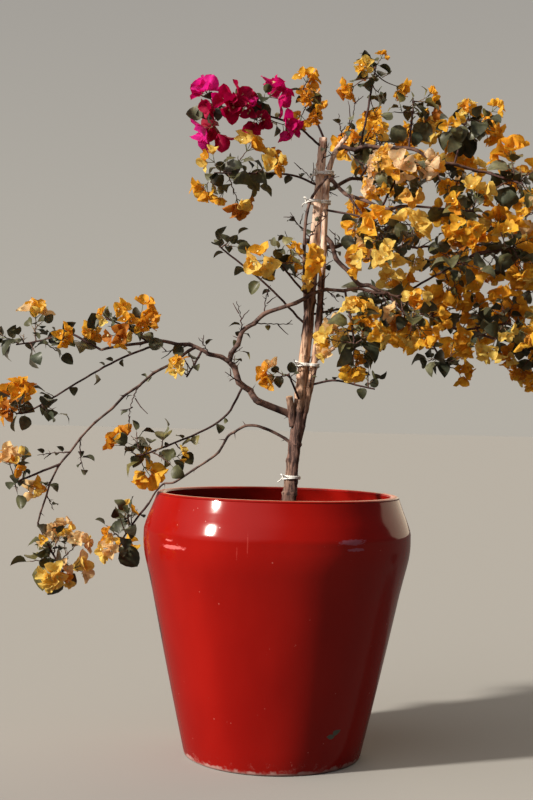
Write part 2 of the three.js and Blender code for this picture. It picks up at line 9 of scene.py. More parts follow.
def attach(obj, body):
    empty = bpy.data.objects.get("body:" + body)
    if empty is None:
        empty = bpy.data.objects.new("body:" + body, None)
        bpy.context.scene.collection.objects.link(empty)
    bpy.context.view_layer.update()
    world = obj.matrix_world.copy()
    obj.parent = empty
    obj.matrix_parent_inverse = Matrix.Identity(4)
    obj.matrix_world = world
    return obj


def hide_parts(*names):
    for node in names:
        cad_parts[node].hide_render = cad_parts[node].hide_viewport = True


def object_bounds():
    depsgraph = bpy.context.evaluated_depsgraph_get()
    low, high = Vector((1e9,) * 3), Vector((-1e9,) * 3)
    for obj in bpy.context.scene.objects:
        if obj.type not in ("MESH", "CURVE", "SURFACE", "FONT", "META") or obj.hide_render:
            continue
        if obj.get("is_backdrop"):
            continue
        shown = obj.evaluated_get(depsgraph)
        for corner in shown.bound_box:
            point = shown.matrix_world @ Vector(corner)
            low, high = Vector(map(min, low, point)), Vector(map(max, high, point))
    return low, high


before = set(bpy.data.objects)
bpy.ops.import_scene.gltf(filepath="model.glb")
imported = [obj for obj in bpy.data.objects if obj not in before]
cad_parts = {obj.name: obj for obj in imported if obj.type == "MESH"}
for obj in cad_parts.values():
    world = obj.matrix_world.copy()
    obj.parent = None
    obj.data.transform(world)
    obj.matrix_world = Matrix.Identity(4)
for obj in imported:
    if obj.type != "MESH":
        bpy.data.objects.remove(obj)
cad_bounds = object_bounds()
MM = 0.001

# The studio. The floor and the surround show paler than the light they throw, but for a soft bright patch
# high at the left front. A warm lamp shines from there, where the sun stood, and a broad, dimmer one from
# behind on the right shines through the bracts. The camera is 2.4 m in front of the pot, tilted a little.
CAMERA_PLACE = (-0.026, -2.392, 0.627)
CAMERA_LENS = 57.15
CAMERA_RISE = math.radians(0.8)
CAMERA_ROLL = math.radians(1.4)
camera = bpy.data.objects.new("camera", bpy.data.cameras.new("camera"))
camera.data.lens = CAMERA_LENS
camera.data.sensor_fit = "VERTICAL"
camera.data.sensor_height = 36
camera.matrix_world = (
    Matrix.Translation(CAMERA_PLACE)
    @ Matrix.Rotation(math.pi / 2 + CAMERA_RISE, 4, "X")
    @ Matrix.Rotation(CAMERA_ROLL, 4, "Z")
)
bpy.context.scene.collection.objects.link(camera)
bpy.context.scene.camera = camera
bpy.context.scene.view_settings.view_transform = "Standard"


def add_sun(name, azimuth, height, energy, breadth, tint):
    """A lamp from far away. Azimuth is from the front towards the right, in degrees as height and breadth."""
    sun = bpy.data.objects.new(name, bpy.data.lights.new(name, "SUN"))
    sun.data.energy = energy
    sun.data.angle = math.radians(breadth)
    sun.data.color = tint
    turn = Matrix.Rotation(math.radians(azimuth), 4, "Z")
    sun.matrix_world = turn @ Matrix.Rotation(math.radians(90 - height), 4, "X")
    bpy.context.scene.collection.objects.link(sun)


add_sun("sun_side", -63, 27, 5.3, 4, (1, 0.93, 0.81))
add_sun("soft_back", 152, 26, 1.3, 75, (1, 0.84, 0.6))


class Wire:
    """A socket in a material's nodes. A sum written on wires adds its Math nodes to the material."""

    def __init__(self, tree, socket=None):
        self.tree = tree
        self.socket = socket

    def node(self, kind, settings=None, inputs=None, output=0):
        """Adds a node: first its settings, then its sockets' values or wires."""
        made = self.tree.nodes.new("ShaderNode" + kind)
        for name, value in (settings or {}).items():
            setattr(made, name, value)
        for name, value in (inputs or {}).items():
            if isinstance(value, Wire):
                self.tree.links.new(value.socket, made.inputs[name])
            else:
                made.inputs[name].default_value = value
        return Wire(self.tree, made.outputs[output])

    def sum(self, operation, first, second):
        return self.node("Math", {"operation": operation}, {0: first, 1: second})

    def __add__(self, other):
        return self.sum("ADD", self, other)

    def __radd__(self, other):
        return self.sum("ADD", other, self)

    def __sub__(self, other):
        return self.sum("SUBTRACT", self, other)

    def __rsub__(self, other):
        return self.sum("SUBTRACT", other, self)

    def __mul__(self, other):
        return self.sum("MULTIPLY", self, other)

    def __rmul__(self, other):
        return self.sum("MULTIPLY", other, self)

    def most(self, other):
        return self.sum("MAXIMUM", self, other)

    def vector(self, operation, other=(0, 0, 0), output=0):
        return self.node("VectorMath", {"operation": operation}, {0: self, 1: other}, output)

    def height(self):
        return self.node("SeparateXYZ", None, {0: self}, output=2)

    def ease(self, low, high):
        """From 0 at low to 1 at high, smoothly. High may be the lower one."""
        settings = {"interpolation_type": "SMOOTHSTEP"}
        return self.node("MapRange", settings, {0: self, 1: low, 2: high})

    def blend(self, first, second):
        """The first colour where this wire is 0 and the second where it is 1."""
        return self.node("Mix", {"data_type": "RGBA"}, {0: self, 6: first, 7: second}, output=2)

    def grain(self, scale, detail=2, stretch=(1, 1, 1)):
        """A noise over this wire's places, that many waves to the metre."""
        placed = self.node("Mapping", None, {"Vector": self, "Scale": stretch})
        return self.node("TexNoise", None, {"Vector": placed, "Scale": scale, "Detail": detail})

    def dots(self, scale, edge, middle):
        """Round dots, that many to the metre, from 0 at their edge's distance to 1 at their middle's."""
        return self.node("TexVoronoi", None, {"Vector": self, "Scale": scale}).ease(edge, middle)

    def feed(self, name):
        """Joins this wire to a socket of the material's shader."""
        self.tree.links.new(self.socket, self.tree.nodes["Principled BSDF"].inputs[name])

    def emboss(self, strength, depth):
        """Raises the material's surface where this wire is high, by a depth in metres."""
        self.node("Bump", None, {"Strength": strength, "Distance": depth, "Height": self}).feed("Normal")


def new_finish(name, **sockets):
    """A material with its shader's own values set, and the wire of places on the piece."""
    material = bpy.data.materials.new(name)
    material.use_nodes = True
    shader = material.node_tree.nodes["Principled BSDF"]
    for socket, value in sockets.items():
        shader.inputs[socket.replace("_", " ")].default_value = value
    return material, Wire(material.node_tree).node("TexCoord", output=3)


SURROUND_SEEN = ((0.455, 0.425, 0.372, 1), (0.33, 0.315, 0.295, 1))
SURROUND_THROWN = ((0.1, 0.096, 0.088, 1), (0.075, 0.075, 0.08, 1))
PATCH_MIDDLE = (-0.61, -0.43, 0.67)
PATCH_EDGE = 0.58
PATCH_THROWN = (1.15, 1.08, 1.04, 1)
sky = bpy.data.worlds.new("sky")
sky.use_nodes = True
way = Wire(sky.node_tree).node("TexCoord")
climb = way.height().ease(0, 0.5)
patch = way.vector("DOT_PRODUCT", PATCH_MIDDLE, output=1).ease(PATCH_EDGE, 1)
thrown = patch.blend(climb.blend(*SURROUND_THROWN), PATCH_THROWN)
shade = way.node("LightPath").blend(thrown, climb.blend(*SURROUND_SEEN))
sky.node_tree.links.new(shade.socket, sky.node_tree.nodes["Background"].inputs["Color"])
bpy.context.scene.world = sky

FLOOR_HALF = 60
FLOOR_THROWN = (0.13, 0.127, 0.122, 1)
FLOOR_SEEN = (0.375, 0.366, 0.352, 1)
floor_mesh = bmesh.new()
bmesh.ops.create_grid(floor_mesh, x_segments=1, y_segments=1, size=FLOOR_HALF)
floor = bpy.data.objects.new("floor", bpy.data.meshes.new("floor"))
floor_mesh.to_mesh(floor.data)
floor_mesh.free()
floor_paint, spot = new_finish("floor_paint", Roughness=1, Specular_IOR_Level=0)
spot.node("LightPath").blend(FLOOR_THROWN, FLOOR_SEEN).feed("Base Color")
floor.data.materials.append(floor_paint)
bpy.context.scene.collection.objects.link(floor)
floor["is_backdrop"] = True

# The pot. Thick stoneware turned on a wheel, tapering to the foot, with a round shoulder and a drawn-in
# mouth, under a glossy red glaze that breaks to tan at the lip. The foot's edge is worn pale, and the
# wall has a few scuffs, specks and one grey chip. The lilac scuff on the right shoulder is also a painted
# reflection of the sky.
POT_HEIGHT = 486
POT_FOOT = 166
POT_CURVES = (
    ((199.5, 150), (231, 302)),
    ((237.5, 330), (244.5, 358)),
    ((249.5, 378), (250, 396)),
    ((250, 405), (250, 413)),
    ((250, 417.8), (248.6, 422.5)),
    ((246.2, 430.3), (243.5, 438)),
    ((241.9, 442.5), (240, 447)),
    ((237.3, 453.5), (234.7, 460)),
    ((232.4, 466), (230.3, 472)),
    ((228.5, 477.2), (226.8, 482.4)),
)
POT_CURVE_STEPS = 8
POT_MOUTH = 227
POT_WALL = 15
POT_FLOOR = 18
POT_CORNER = 6
POT_LATHE_STEPS = 128
LIP_STEPS = 8
LIP_RISE = 4.5
WEAR_BREAKS = 1.3


def arc(start, control, end, steps):
    """Points of a curve that leaves start towards control and comes into end from it."""
    shares = np.arange(1, steps + 1)[:, None] / steps
    start, control, end = np.array((start, control, end), float)
    return start * (1 - shares) ** 2 + 2 * control * shares * (1 - shares) + end * shares**2


def place_piece(piece, finishes, nodes):
    """Gives a smooth piece its finishes. It rides on the one body and stands for its nodes."""
    for finish in finishes:
        piece.data.materials.append(finish)
    piece.data.shade_smooth()
    bpy.context.scene.collection.objects.link(piece)
    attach(piece, "root")
    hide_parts(*nodes)


def new_piece(name, mesh, finishes, nodes):
    """A piece of the plant from a bmesh."""
    piece = bpy.data.objects.new(name, bpy.data.meshes.new(name))
    mesh.to_mesh(piece.data)
    mesh.free()
    place_piece(piece, finishes, nodes)


def turn_on_wheel(outline, steps):
    """A closed bmesh turned from points of radius and height that start and end on the axis."""
    mesh = bmesh.new()
    spots = [mesh.verts.new((radius * MM, 0, height * MM)) for radius, height in outline]
    edges = [mesh.edges.new(pair) for pair in zip(spots, spots[1:])]
    bmesh.ops.spin(
        mesh, geom=spots + edges, cent=(0, 0, 0), axis=(0, 0, 1),
        angle=2 * math.pi, steps=steps, use_merge=True,
    )
    bmesh.ops.remove_doubles(mesh, verts=mesh.verts, dist=1e-6)
    bmesh.ops.recalc_face_normals(mesh, faces=mesh.faces)
    return mesh


def colour(red, green, blue, shade=1):
    """A colour seen as these 8-bit values times a shade, as the shaders' linear numbers."""
    seen = [min(255, shade * value) for value in (red, green, blue)]
    return tuple(((c / 255 + 0.055) / 1.055) ** 2.4 if c > 10 else c / 3295 for c in seen) + (1,)


def glaze_finish():
    """Red glaze: slightly uneven in depth and gloss, with the pot's own scuffs, specks and worn edges. The
    lilac scuff on the right also carries a painted reflection of the sky.
    """
    material, spot = new_finish("red_glaze", Specular_IOR_Level=0.24)
    depth = spot.grain(5, 3, stretch=(1, 1, 0.5)).ease(0.35, 0.7)
    height = spot.height()
    ragged = spot.grain(60, 4)
    fine = spot.grain(420, 3)
    streaks = spot.grain(150, 4, stretch=(1, 1, 5))

    def soft_box(breaks, middle, half):
        """A mark round a point of the wall, as wide and tall as given and broken up by a noise."""
        away = spot.vector("SUBTRACT", [c * MM for c in middle])
        reach = away.vector("MULTIPLY", [1 / (h * MM) for h in half]).vector("LENGTH", output=1)
        return (reach + breaks * WEAR_BREAKS).ease(1.3, 1.15)

    def mark(breaks, first, second):
        return soft_box(breaks, *first).most(soft_box(breaks, *second))

    pink_scuff = mark(streaks, ((-182, -168, 397), (46, 46, 6)), ((-190, -160, 408), (16, 16, 3)))
    # The lilac mark on the right shoulder is partly a scuff and partly a painted reflection of the sky.
    lilac_scuff_and_sky_reflection = mark(streaks, ((126, -213, 417), (46, 36, 8)), ((132, -209, 404), (32, 26, 5)))
    scratch = mark(streaks, ((-52, -242, 412), (1.8, 30, 30)), ((-70, -236, 396), (1.5, 30, 18)))
    chip = mark(ragged, ((111, -144, 75), (16, 16, 9)), ((102, -151, 69), (15, 15, 8)))
    dots = spot.dots(40, 0.06, 0.03) * spot.grain(12, 1).ease(0.48, 0.54)
    specks = dots.most(spot.grain(170, 3, stretch=(1, 1, 0.4)).ease(0.755, 0.785))
    foot_wear = (height + ragged * 0.026).ease(0.0215, 0.016)
    foot_rub = (height + fine * 0.05).ease(0.048, 0.03) * ragged.ease(0.52, 0.64)
    lip = (height + fine * 0.001).ease(0.4853, 0.486)

    paint = depth.blend(colour(140, 15, 10), colour(160, 22, 15))
    for wear, share, tint in (
        (scratch, 0.25, (200, 84, 76)),
        (specks, 0.6, (206, 116, 106)),
        (pink_scuff, 0.75, (226, 112, 112)),
        (lilac_scuff_and_sky_reflection, 0.6, (166, 104, 124)),
        (foot_rub, 0.5, (176, 96, 90)),
        (foot_wear, 0.85, (186, 146, 140)),
        (chip, 1, (96, 98, 88)),
        (lip, 0.7, (186, 108, 78)),
    ):
        paint = (wear * share).blend(paint, colour(*tint))
    paint.feed("Base Color")
    worn = pink_scuff.most(lilac_scuff_and_sky_reflection).most(foot_wear).most(chip).most(specks)
    (0.1 + depth * 0.05 + foot_rub * 0.3 + worn * 0.5 + lip * 0.2).feed("Roughness")
    (spot.grain(7, 2) * 0.5 + spot.grain(26, 2) * 0.12 - worn * 0.03).emboss(0.35, 0.004)
    return material


outer = np.array([(POT_FOOT, 5)], float)
for control, end in POT_CURVES:
    outer = np.vstack((outer, arc(outer[-1], control, end, POT_CURVE_STEPS)))
lip_half = POT_WALL / 2
lip_arc = [
    (POT_MOUTH - lip_half + lip_half * math.cos(turn), POT_HEIGHT - LIP_RISE + LIP_RISE * math.sin(turn))
    for turn in np.linspace(0.2, math.pi, LIP_STEPS)
]
inner = [(radius - POT_WALL, height) for radius, height in outer[::-1] if height > POT_FLOOR + 2 * POT_CORNER]
inner_foot = POT_FOOT - POT_WALL
underside = [(0, 0), (POT_FOOT - 6, 0), (POT_FOOT - 1.5, 1.5)]
inside_floor = [(inner_foot, POT_FLOOR + POT_CORNER), (inner_foot - POT_CORNER, POT_FLOOR), (0, POT_FLOOR)]
pot_profile = [*underside, *outer, *lip_arc, *inner, *inside_floor]
new_piece("glazed_pot", turn_on_wheel(pot_profile, POT_LATHE_STEPS), [glaze_finish()], ["pot"])

# The soil. Dark crumbly potting soil, 50 mm below the rim, thrown up a little round the stems. Loose
# crumbs of soil, bark and grit lie on it.
SOIL_TOP = POT_HEIGHT - 50
SOIL_GAP = 0.6
SOIL_RINGS = 30
SOIL_LATHE_STEPS = 96
CRUMBS = 420
CRUMB_TURN = 2.399963
SOLID_BULGE = (207, 179)
SOLID_WALL_TOP = (244, 358)
SOLID_SHOULDER = (250, 402)
SOLID_NECK = (230, 478)
shoulder_radius, shoulder_height = SOLID_SHOULDER
SOLID_WALL = np.vstack((
    [(POT_FOOT, 5)],
    arc((POT_FOOT, 5), SOLID_BULGE, SOLID_WALL_TOP, 3),
    arc(SOLID_WALL_TOP, (shoulder_radius, shoulder_height - 22), SOLID_SHOULDER, 3),
    arc(SOLID_SHOULDER, (shoulder_radius - 2, shoulder_height + 26), SOLID_NECK, 3),
))


def wall_radius(height):
    """Outer radius of the pot at a height, from the few points that the solid's wall has."""
    above = int(np.argmax(SOLID_WALL[:, 1] >= height))
    if SOLID_WALL[-1, 1] < height:
        return POT_MOUTH
    if above == 0:
        return POT_FOOT
    (low_r, low_z), (high_r, high_z) = SOLID_WALL[above - 1], SOLID_WALL[above]
    return low_r + (high_r - low_r) * (height - low_z) / (high_z - low_z)


def soil_finish():
    """Crumbly soil: dark clods with paler bits of bark and grit."""
    material, spot = new_finish("potting_soil", Roughness=0.95, Specular_IOR_Level=0.2)
    clod = spot.grain(90, 5)
    pale = spot.grain(260, 2).ease(0.62, 0.7)
    paint = clod.ease(0.3, 0.7).blend(colour(38, 27, 20), colour(84, 62, 46))
    (pale * 0.5).blend(paint, colour(142, 118, 94)).feed("Base Color")
    (clod + pale * 0.3).emboss(0.8, 0.004)
    return material


def raised(spot):
    """How far clods, and the soil thrown up round the stems, lift a point of the soil, in millimetres."""
    clods = noise.fractal(spot * 55, 0.8, 2.2, 4) * 2.4 + noise.noise(spot * 12) * 2
    return clods + 5 * math.exp(-math.hypot(spot.x - 0.02, spot.y) / 0.03)


soil_edge = wall_radius(SOIL_TOP) - POT_WALL - SOIL_GAP
soil_foot = [(0, POT_FLOOR + 2), (inner_foot - POT_CORNER, POT_FLOOR + 2)]
soil_side = [(radius - POT_WALL - SOIL_GAP, height) for radius, height in outer if 40 < height < SOIL_TOP - 6]
soil_face = [(soil_edge * share, SOIL_TOP - 3) for share in np.linspace(1, 0, SOIL_RINGS)]
soil_mesh = turn_on_wheel([*soil_foot, *soil_side, *soil_face], SOIL_LATHE_STEPS)
for vert in soil_mesh.verts:
    if vert.co.z > (SOIL_TOP - 4) * MM:
        vert.co.z += raised(vert.co) * MM
for crumb in range(CRUMBS):
    turn = CRUMB_TURN * crumb
    away = (soil_edge - 6) * math.sqrt((crumb + 0.5) / CRUMBS)
    size = 1.2 + 2.6 * (noise.noise((crumb * 0.37, 1.5, 0)) + 0.5)
    spot = Vector((away * math.cos(turn), away * math.sin(turn), SOIL_TOP - 1.5)) * MM
    turned = Matrix.Rotation(turn * 3, 4, "X") @ Matrix.Rotation(turn, 4, "Z")
    flattened = Matrix.Diagonal((size * MM, 0.7 * size * MM, 0.6 * size * MM, 1))
    place = Matrix.Translation(spot) @ turned @ flattened
    bmesh.ops.create_icosphere(soil_mesh, subdivisions=1, radius=1, matrix=place)
new_piece("potting_soil", soil_mesh, [soil_finish()], ["soil"])

# The stems. A leaning leader with the stems bundled beside it, the limb that leaves it to the left and
# forks into a long arch and a branch over to the right, and the boughs of the crown. Each is a tapering
# stem with bark ridges, swollen leaf nodes and thorns, grown from the middle of the one that carries it.
def unit(v):
    return v / np.linalg.norm(v)


class Line:
    """A smooth line that passes its points at even shares of its way."""

    def __init__(self, *points):
        self.points = np.array(points, float)

    def at(self, share):
        points = self.points
        last = len(points) - 1
        before = min(int(last * share), last - 1)
        t = last * share - before
        start, end = points[before], points[before + 1]
        ahead = points[before + 2] if before + 2 <= last else 2 * points[last] - points[last - 1]
        behind = points[before - 1] if before else 2 * points[0] - points[1]
        leave, arrive = 0.5 * (end - behind), 0.5 * (ahead - start)
        bend = -3 * start + 3 * end - 2 * leave - arrive
        return start + leave * t + bend * t**2 + (2 * start - 2 * end + leave + arrive) * t**3

    def heading(self, share):
        return unit(self.at(min(1, share + 1e-4)) - self.at(max(0, share - 1e-4)))

    def length(self):
        spots = np.array([self.at(share) for share in np.linspace(0, 1, 33)])
        return np.linalg.norm(np.diff(spots, axis=0), axis=1).sum()


def taper(start, end):
    return lambda share: start + (end - start) * share


class Limb:
    """A tapering stem through some points, which may flare out at its root. Its solid has straight steps."""

    def __init__(self, root, through, radii, steps=6, flare=0):
        self.line = Line(root, *through)
        self.radii = radii
        self.steps = steps
        self.flare = flare

    def radius(self, share):
        return taper(*self.radii)(share) + self.flare * math.exp(-share / 0.035)

    def straights(self):
        """The ends of each straight step, and the larger radius of the two."""
        for i in range(self.steps):
            start, end = i / self.steps, (i + 1) / self.steps
            yield self.line.at(start), self.line.at(end), max(self.radius(start), self.radius(end))


TRUNK_FOOT = (18, 0, SOIL_TOP - 6)
LIMBS = {"trunk": Limb(TRUNK_FOOT, [(46, -2, 778), (70, 0, 1158)], (12, 7.5), 12, flare=8)}


def add_limb(name, carrier, share, *through, radii, steps=6):
    """Adds a limb that leaves its carrier at a share of the way along it."""
    LIMBS[name] = Limb(LIMBS[carrier].line.at(share), through, radii, steps)


add_limb(
    "stem_right", "trunk", 0.17, (63, -5, 740), (73, -8, 910), (81, -10, 1095), (117, -10, 1168),
    radii=(7.4, 4.2), steps=12,
)
add_limb("stem_left", "trunk", 0.5, (38, -19, 940), (45, -22, 1028), (78, -25, 1082), radii=(3.4, 2.4))
add_limb("arch_root", "trunk", 0.28, (-42, -20, 662), (-70, -26, 687), (-97, -30, 729), radii=(6.8, 5))
add_limb("arch_over", "arch_root", 1, (-76, -31, 778), (-42, -33, 812), (63, -35, 863), radii=(4.8, 3.6))
add_limb("arch_over_end", "arch_over", 1, (127, -48, 868), (190, -62, 861), radii=(3.5, 2.4), steps=5)
add_limb(
    "arch_left", "arch_root", 1, (-163, -36, 755), (-240, -32, 764), (-337, -22, 746),
    radii=(4.3, 2.4), steps=9,
)
add_limb("whip_high", "arch_left", 0.32, (-261, -60, 682), (-351, -72, 597), radii=(2.7, 2.1))
add_limb("whip_low", "whip_high", 1, (-408, -78, 517), (-436, -82, 425), radii=(2.1, 1.6), steps=5)
add_limb(
    "twig_over_rim", "trunk", 0.21, (-36, 4, 611), (-90, 18, 597), (-120, 34, 555), (-193, 60, 503),
    (-227, 70, 490), (-249, 72, 456), radii=(2.8, 1.6), steps=11,
)
add_limb(
    "bough_high", "stem_right", 0.86, (138, -12, 1138), (222, -20, 1138), (290, -24, 1112),
    (372, -8, 1100), (436, 14, 1078), radii=(4.4, 2.2), steps=10,
)
add_limb("bough_high_back", "trunk", 0.86, (122, 62, 1090), (185, 118, 1112), radii=(4.2, 2.6))
add_limb(
    "bough_mid", "stem_right", 0.72, (122, -18, 1048), (180, -44, 1022), (236, -66, 1022),
    radii=(4, 2.4),
)
add_limb(
    "bough_mid_back", "trunk", 0.72, (130, 58, 968), (220, 112, 968), (280, 128, 975),
    radii=(4.2, 2.4), steps=7,
)
add_limb(
    "bough_low", "stem_right", 0.58, (131, -11, 892), (205, -20, 862), (318, -12, 806), (410, 10, 788),
    radii=(4.6, 2.4), steps=10,
)
add_limb(
    "bough_far", "bough_low", 0.66, (322, 2, 884), (346, 6, 936), (420, 12, 962),
    radii=(3.2, 2), steps=7,
)

STUMPS = {
    "trunk": Limb((26, -2, 612), [(17, -13, 668)], (7.5, 6)),
    "stem_right": Limb((62, -4, 737), [(99, -4, 762)], (4.6, 3.8)),
}
BUNDLED = ("trunk", "stem_right", "stem_left")
NODE_SPACING = 34
NODE_SWELL = 0.24
KINK = 0.8
KINK_STEPS = 60
BARK_RING_EVERY = 4.5
TRUNK_FLUTES, STEM_FLUTES = 0.13, 0.05
TRUNK_SIDES, STEM_SIDES, STUMP_SIDES = 20, 12, 14
STUMP_RINGS = 14


def chance(seed, place):
    """A number from 0 to 1 that is always the same for one seed and one place."""
    h = (seed * 374761393 + place * 668265263) & 0xFFFFFFFF
    h = ((h ^ (h >> 13)) * 1274126177) & 0xFFFFFFFF
    return (h ^ (h >> 16)) / 4294967296


def level_across(heading):
    """A direction square to a heading, and nearly level for most."""
    return unit(np.cross(heading, (0.3, 0.2, 1)))


def out_from(heading, turn):
    """A direction square to a heading, at a turn round it."""
    level = level_across(heading)
    return level * math.cos(turn) + np.cross(heading, level) * math.sin(turn)


def frames_along(headings):
    """A side and a top direction at each of a line's headings, without twist."""
    side = np.array((0, 1, 0) if abs(headings[0][1]) < 0.9 else (1, 0, 0), float)
    frames = []
    for heading in headings:
        side = unit(side - heading * (side @ heading))
        frames.append((side, np.cross(heading, side)))
    return frames


def roll_tube(mesh, line, radius_at, sides, rings):
    """Rolls a grid into a closed tube along a line. radius_at takes a share and a turn. Returns the ends."""
    shares = np.linspace(0, 1, rings + 1)
    middles = [line.at(share) for share in shares]
    frames = frames_along([line.heading(share) for share in shares])
    grid = bmesh.ops.create_grid(mesh, x_segments=sides, y_segments=rings, size=0.5)["verts"]
    for vert in grid:
        turn = 2 * math.pi * (vert.co.x + 0.5)
        ring = round((vert.co.y + 0.5) * rings)
        side, top = frames[ring]
        out = side * math.cos(turn) + top * math.sin(turn)
        vert.co = (middles[ring] + out * radius_at(shares[ring], turn)) * MM
    bmesh.ops.remove_doubles(mesh, verts=grid, dist=1e-7)
    rims = [edge for edge in mesh.edges if edge.is_boundary]
    return bmesh.ops.edgeloop_fill(mesh, edges=rims)["faces"]


def nodes_along(line, seed):
    """Where a stem's leaf nodes stand, as shares and turns, one seeded row for each stem."""
    count = max(2, round(line.length() / NODE_SPACING))
    shares = [(i + 0.5 + 0.5 * (chance(seed, i) - 0.5)) / count for i in range(count)]
    return [(share, 2.4 * i + 1.2 * chance(seed, 100 + i)) for i, share in enumerate(shares)]


def kinked(limb):
    """A limb's line with a slight turn at each leaf node, first one way and then the other."""
    stops = [0, *(share for share, turn in limb.nodes), 1]
    swings = [0, *np.resize((1, -1), len(limb.nodes)), 0]
    points = []
    for share in np.linspace(0, 1, KINK_STEPS + 1):
        heading = limb.line.heading(share)
        side = level_across(heading)
        swing = KINK * limb.radius(share) * np.interp(share, stops, swings)
        points.append(limb.line.at(share) + (0.4 * side + np.cross(side, heading)) * swing)
    return Line(*points)


def bark_radius(line, bare_radius, nodes, flutes, place):
    """The bare radius with ridges, leaf nodes and, on the trunk, the flutes of the stems grown into it."""
    length = line.length()

    def radius(share, turn):
        run = share * length
        round_about = Vector((math.cos(turn) * 1.6, math.sin(turn) * 1.6, place + run / 26))
        ridge = noise.noise(round_about) * 0.14 + noise.noise(round_about * 2.7) * 0.07
        flute = flutes * math.cos(3 * turn + run / 90)
        knot = sum(
            NODE_SWELL * math.exp(-(((share - at) * length / 3.2) ** 2)) * (0.6 + 0.4 * math.cos(turn - side))
            for at, side in nodes
        )
        return bare_radius(share) * (1 + ridge + flute + knot)

    return radius


def young_bark_finish():
    """Thin smooth bark of the limbs and side stems: purple-brown, blotched, with pale pores."""
    material, spot = new_finish("smooth_bark", Specular_IOR_Level=0.35)
    blotch = spot.grain(70, 4)
    fine = spot.grain(700, 3)
    pores = spot.dots(220, 0.16, 0.1)
    paint = blotch.ease(0.36, 0.64).blend(colour(58, 40, 38), colour(120, 92, 82))
    (pores * 0.5).blend(paint, colour(168, 140, 122)).feed("Base Color")
    (0.6 + fine * 0.2).feed("Roughness")
    (blotch + fine * 0.3 + pores * 0.2).emboss(0.5, 0.0012)
    return material


def old_bark_finish():
    """Ridged bark of the leader and the stem bound to it, purple-brown with grey patches, in bands of painted
    light and shade by height: painted sunlight makes it pale tan high up and tan where the bundle is fluted,
    and the purple-brown between stands for painted leaf shadow."""
    material, spot = new_finish("ridged_bark", Specular_IOR_Level=0.25)
    height = spot.height()
    ridges = spot.grain(260, 4, stretch=(1, 1, 0.16))
    patches = spot.grain(34, 3, stretch=(1, 1, 0.5))
    fine = spot.grain(900, 3, stretch=(1, 1, 0.4))
    # Painted light and shade in bands by height: painted sunlight, pale high up and tan on the fluted bundle,
    # with the purple-brown below and between them as painted leaf shadow.
    high = (height + patches * 0.08).ease(0.91, 0.96)
    ragged_height = height + patches * 0.06
    bundle = ragged_height.ease(0.66, 0.7) * ragged_height.ease(0.83, 0.79)
    dark = ridges.ease(0.38, 0.62).blend(colour(52, 36, 34), colour(122, 92, 82))
    tan = ridges.ease(0.36, 0.58).blend(colour(132, 96, 76), colour(222, 184, 156))
    pale = ridges.ease(0.32, 0.5).blend(colour(150, 110, 92), colour(238, 206, 184))
    grey = ridges.ease(0.36, 0.6).blend(colour(84, 66, 58), colour(170, 140, 122))
    paint = (patches.ease(0.5, 0.66) * 0.55).blend(dark, grey)
    # Painted sunlight: tan on the fluted bundle, then pale tan high up.
    paint = (bundle * 0.85).blend(paint, tan)
    paint = (high * 0.95).blend(paint, pale)
    (fine.ease(0.6, 0.72) * 0.3).blend(paint, colour(196, 168, 150)).feed("Base Color")
    (0.72 + fine * 0.2).feed("Roughness")
    (ridges + fine * 0.25).emboss(0.7, 0.0016)
    return material


def mottled_finish(name, dark, pale, mottle, span, relief=None, **sockets):
    """A finish that one noise turns from dark to pale, and another one raises by a strength and a depth."""
    material, spot = new_finish(name, **sockets)
    spot.grain(*mottle).ease(*span).blend(dark, pale).feed("Base Color")
    if relief:
        grain, strength, depth = relief
        spot.grain(*grain).emboss(strength, depth)
    return material


young_bark, old_bark = young_bark_finish(), old_bark_finish()
cut_wood = mottled_finish(
    "cut_wood", colour(148, 116, 90), colour(198, 168, 134), (420, 3), (0.35, 0.65),
    relief=((420, 3), 0.5, 0.0008), Roughness=0.85, Specular_IOR_Level=0.2,
)
for number, (name, limb) in enumerate(LIMBS.items()):
    limb.nodes = nodes_along(limb.line, 700 + number)
    limb.drawn = limb.line if name in BUNDLED else kinked(limb)
    flutes, sides = (TRUNK_FLUTES, TRUNK_SIDES) if name == "trunk" else (STEM_FLUTES, STEM_SIDES)
    rough_radius = bark_radius(limb.drawn, limb.radius, limb.nodes, flutes, 10.0 * number)
    mesh = bmesh.new()
    roll_tube(mesh, limb.drawn, rough_radius, sides, round(limb.drawn.length() / BARK_RING_EVERY))
    if name in STUMPS:
        stump = STUMPS[name]
        rough_radius = bark_radius(stump.line, stump.radius, [], flutes, 10.0 * number)
        ends = roll_tube(mesh, stump.line, rough_radius, STUMP_SIDES, STUMP_RINGS)
        cut = max(ends, key=lambda face: face.calc_center_median().z)
        cut.material_index = 1
        cut.smooth = False
        bmesh.ops.inset_region(mesh, faces=[cut], thickness=0.7 * MM, depth=0.5 * MM)
    bmesh.ops.recalc_face_normals(mesh, faces=mesh.faces)
    bark = old_bark if name in ("trunk", "stem_right") else young_bark
    new_piece(f"bark_{name}", mesh, [bark, cut_wood], [name])

# The ties. White garden twine, two turns round the leader and the stems beside it, drawn tight and
# finished in a flat knot with short tails on the left.
TIES = (516, 728, 1034, 1090)
TWINE_RADIUS = 2.6
COIL_RADIUS, TAIL_RADIUS, KNOT_RADIUS = 2, 1.4, 1.7
TWINE_SIDES, TWINE_RING_EVERY = 8, 1.3
COIL_APART = 1.7
KNOT_TURN = math.pi * 1.12
PLY_TURN = 7.5


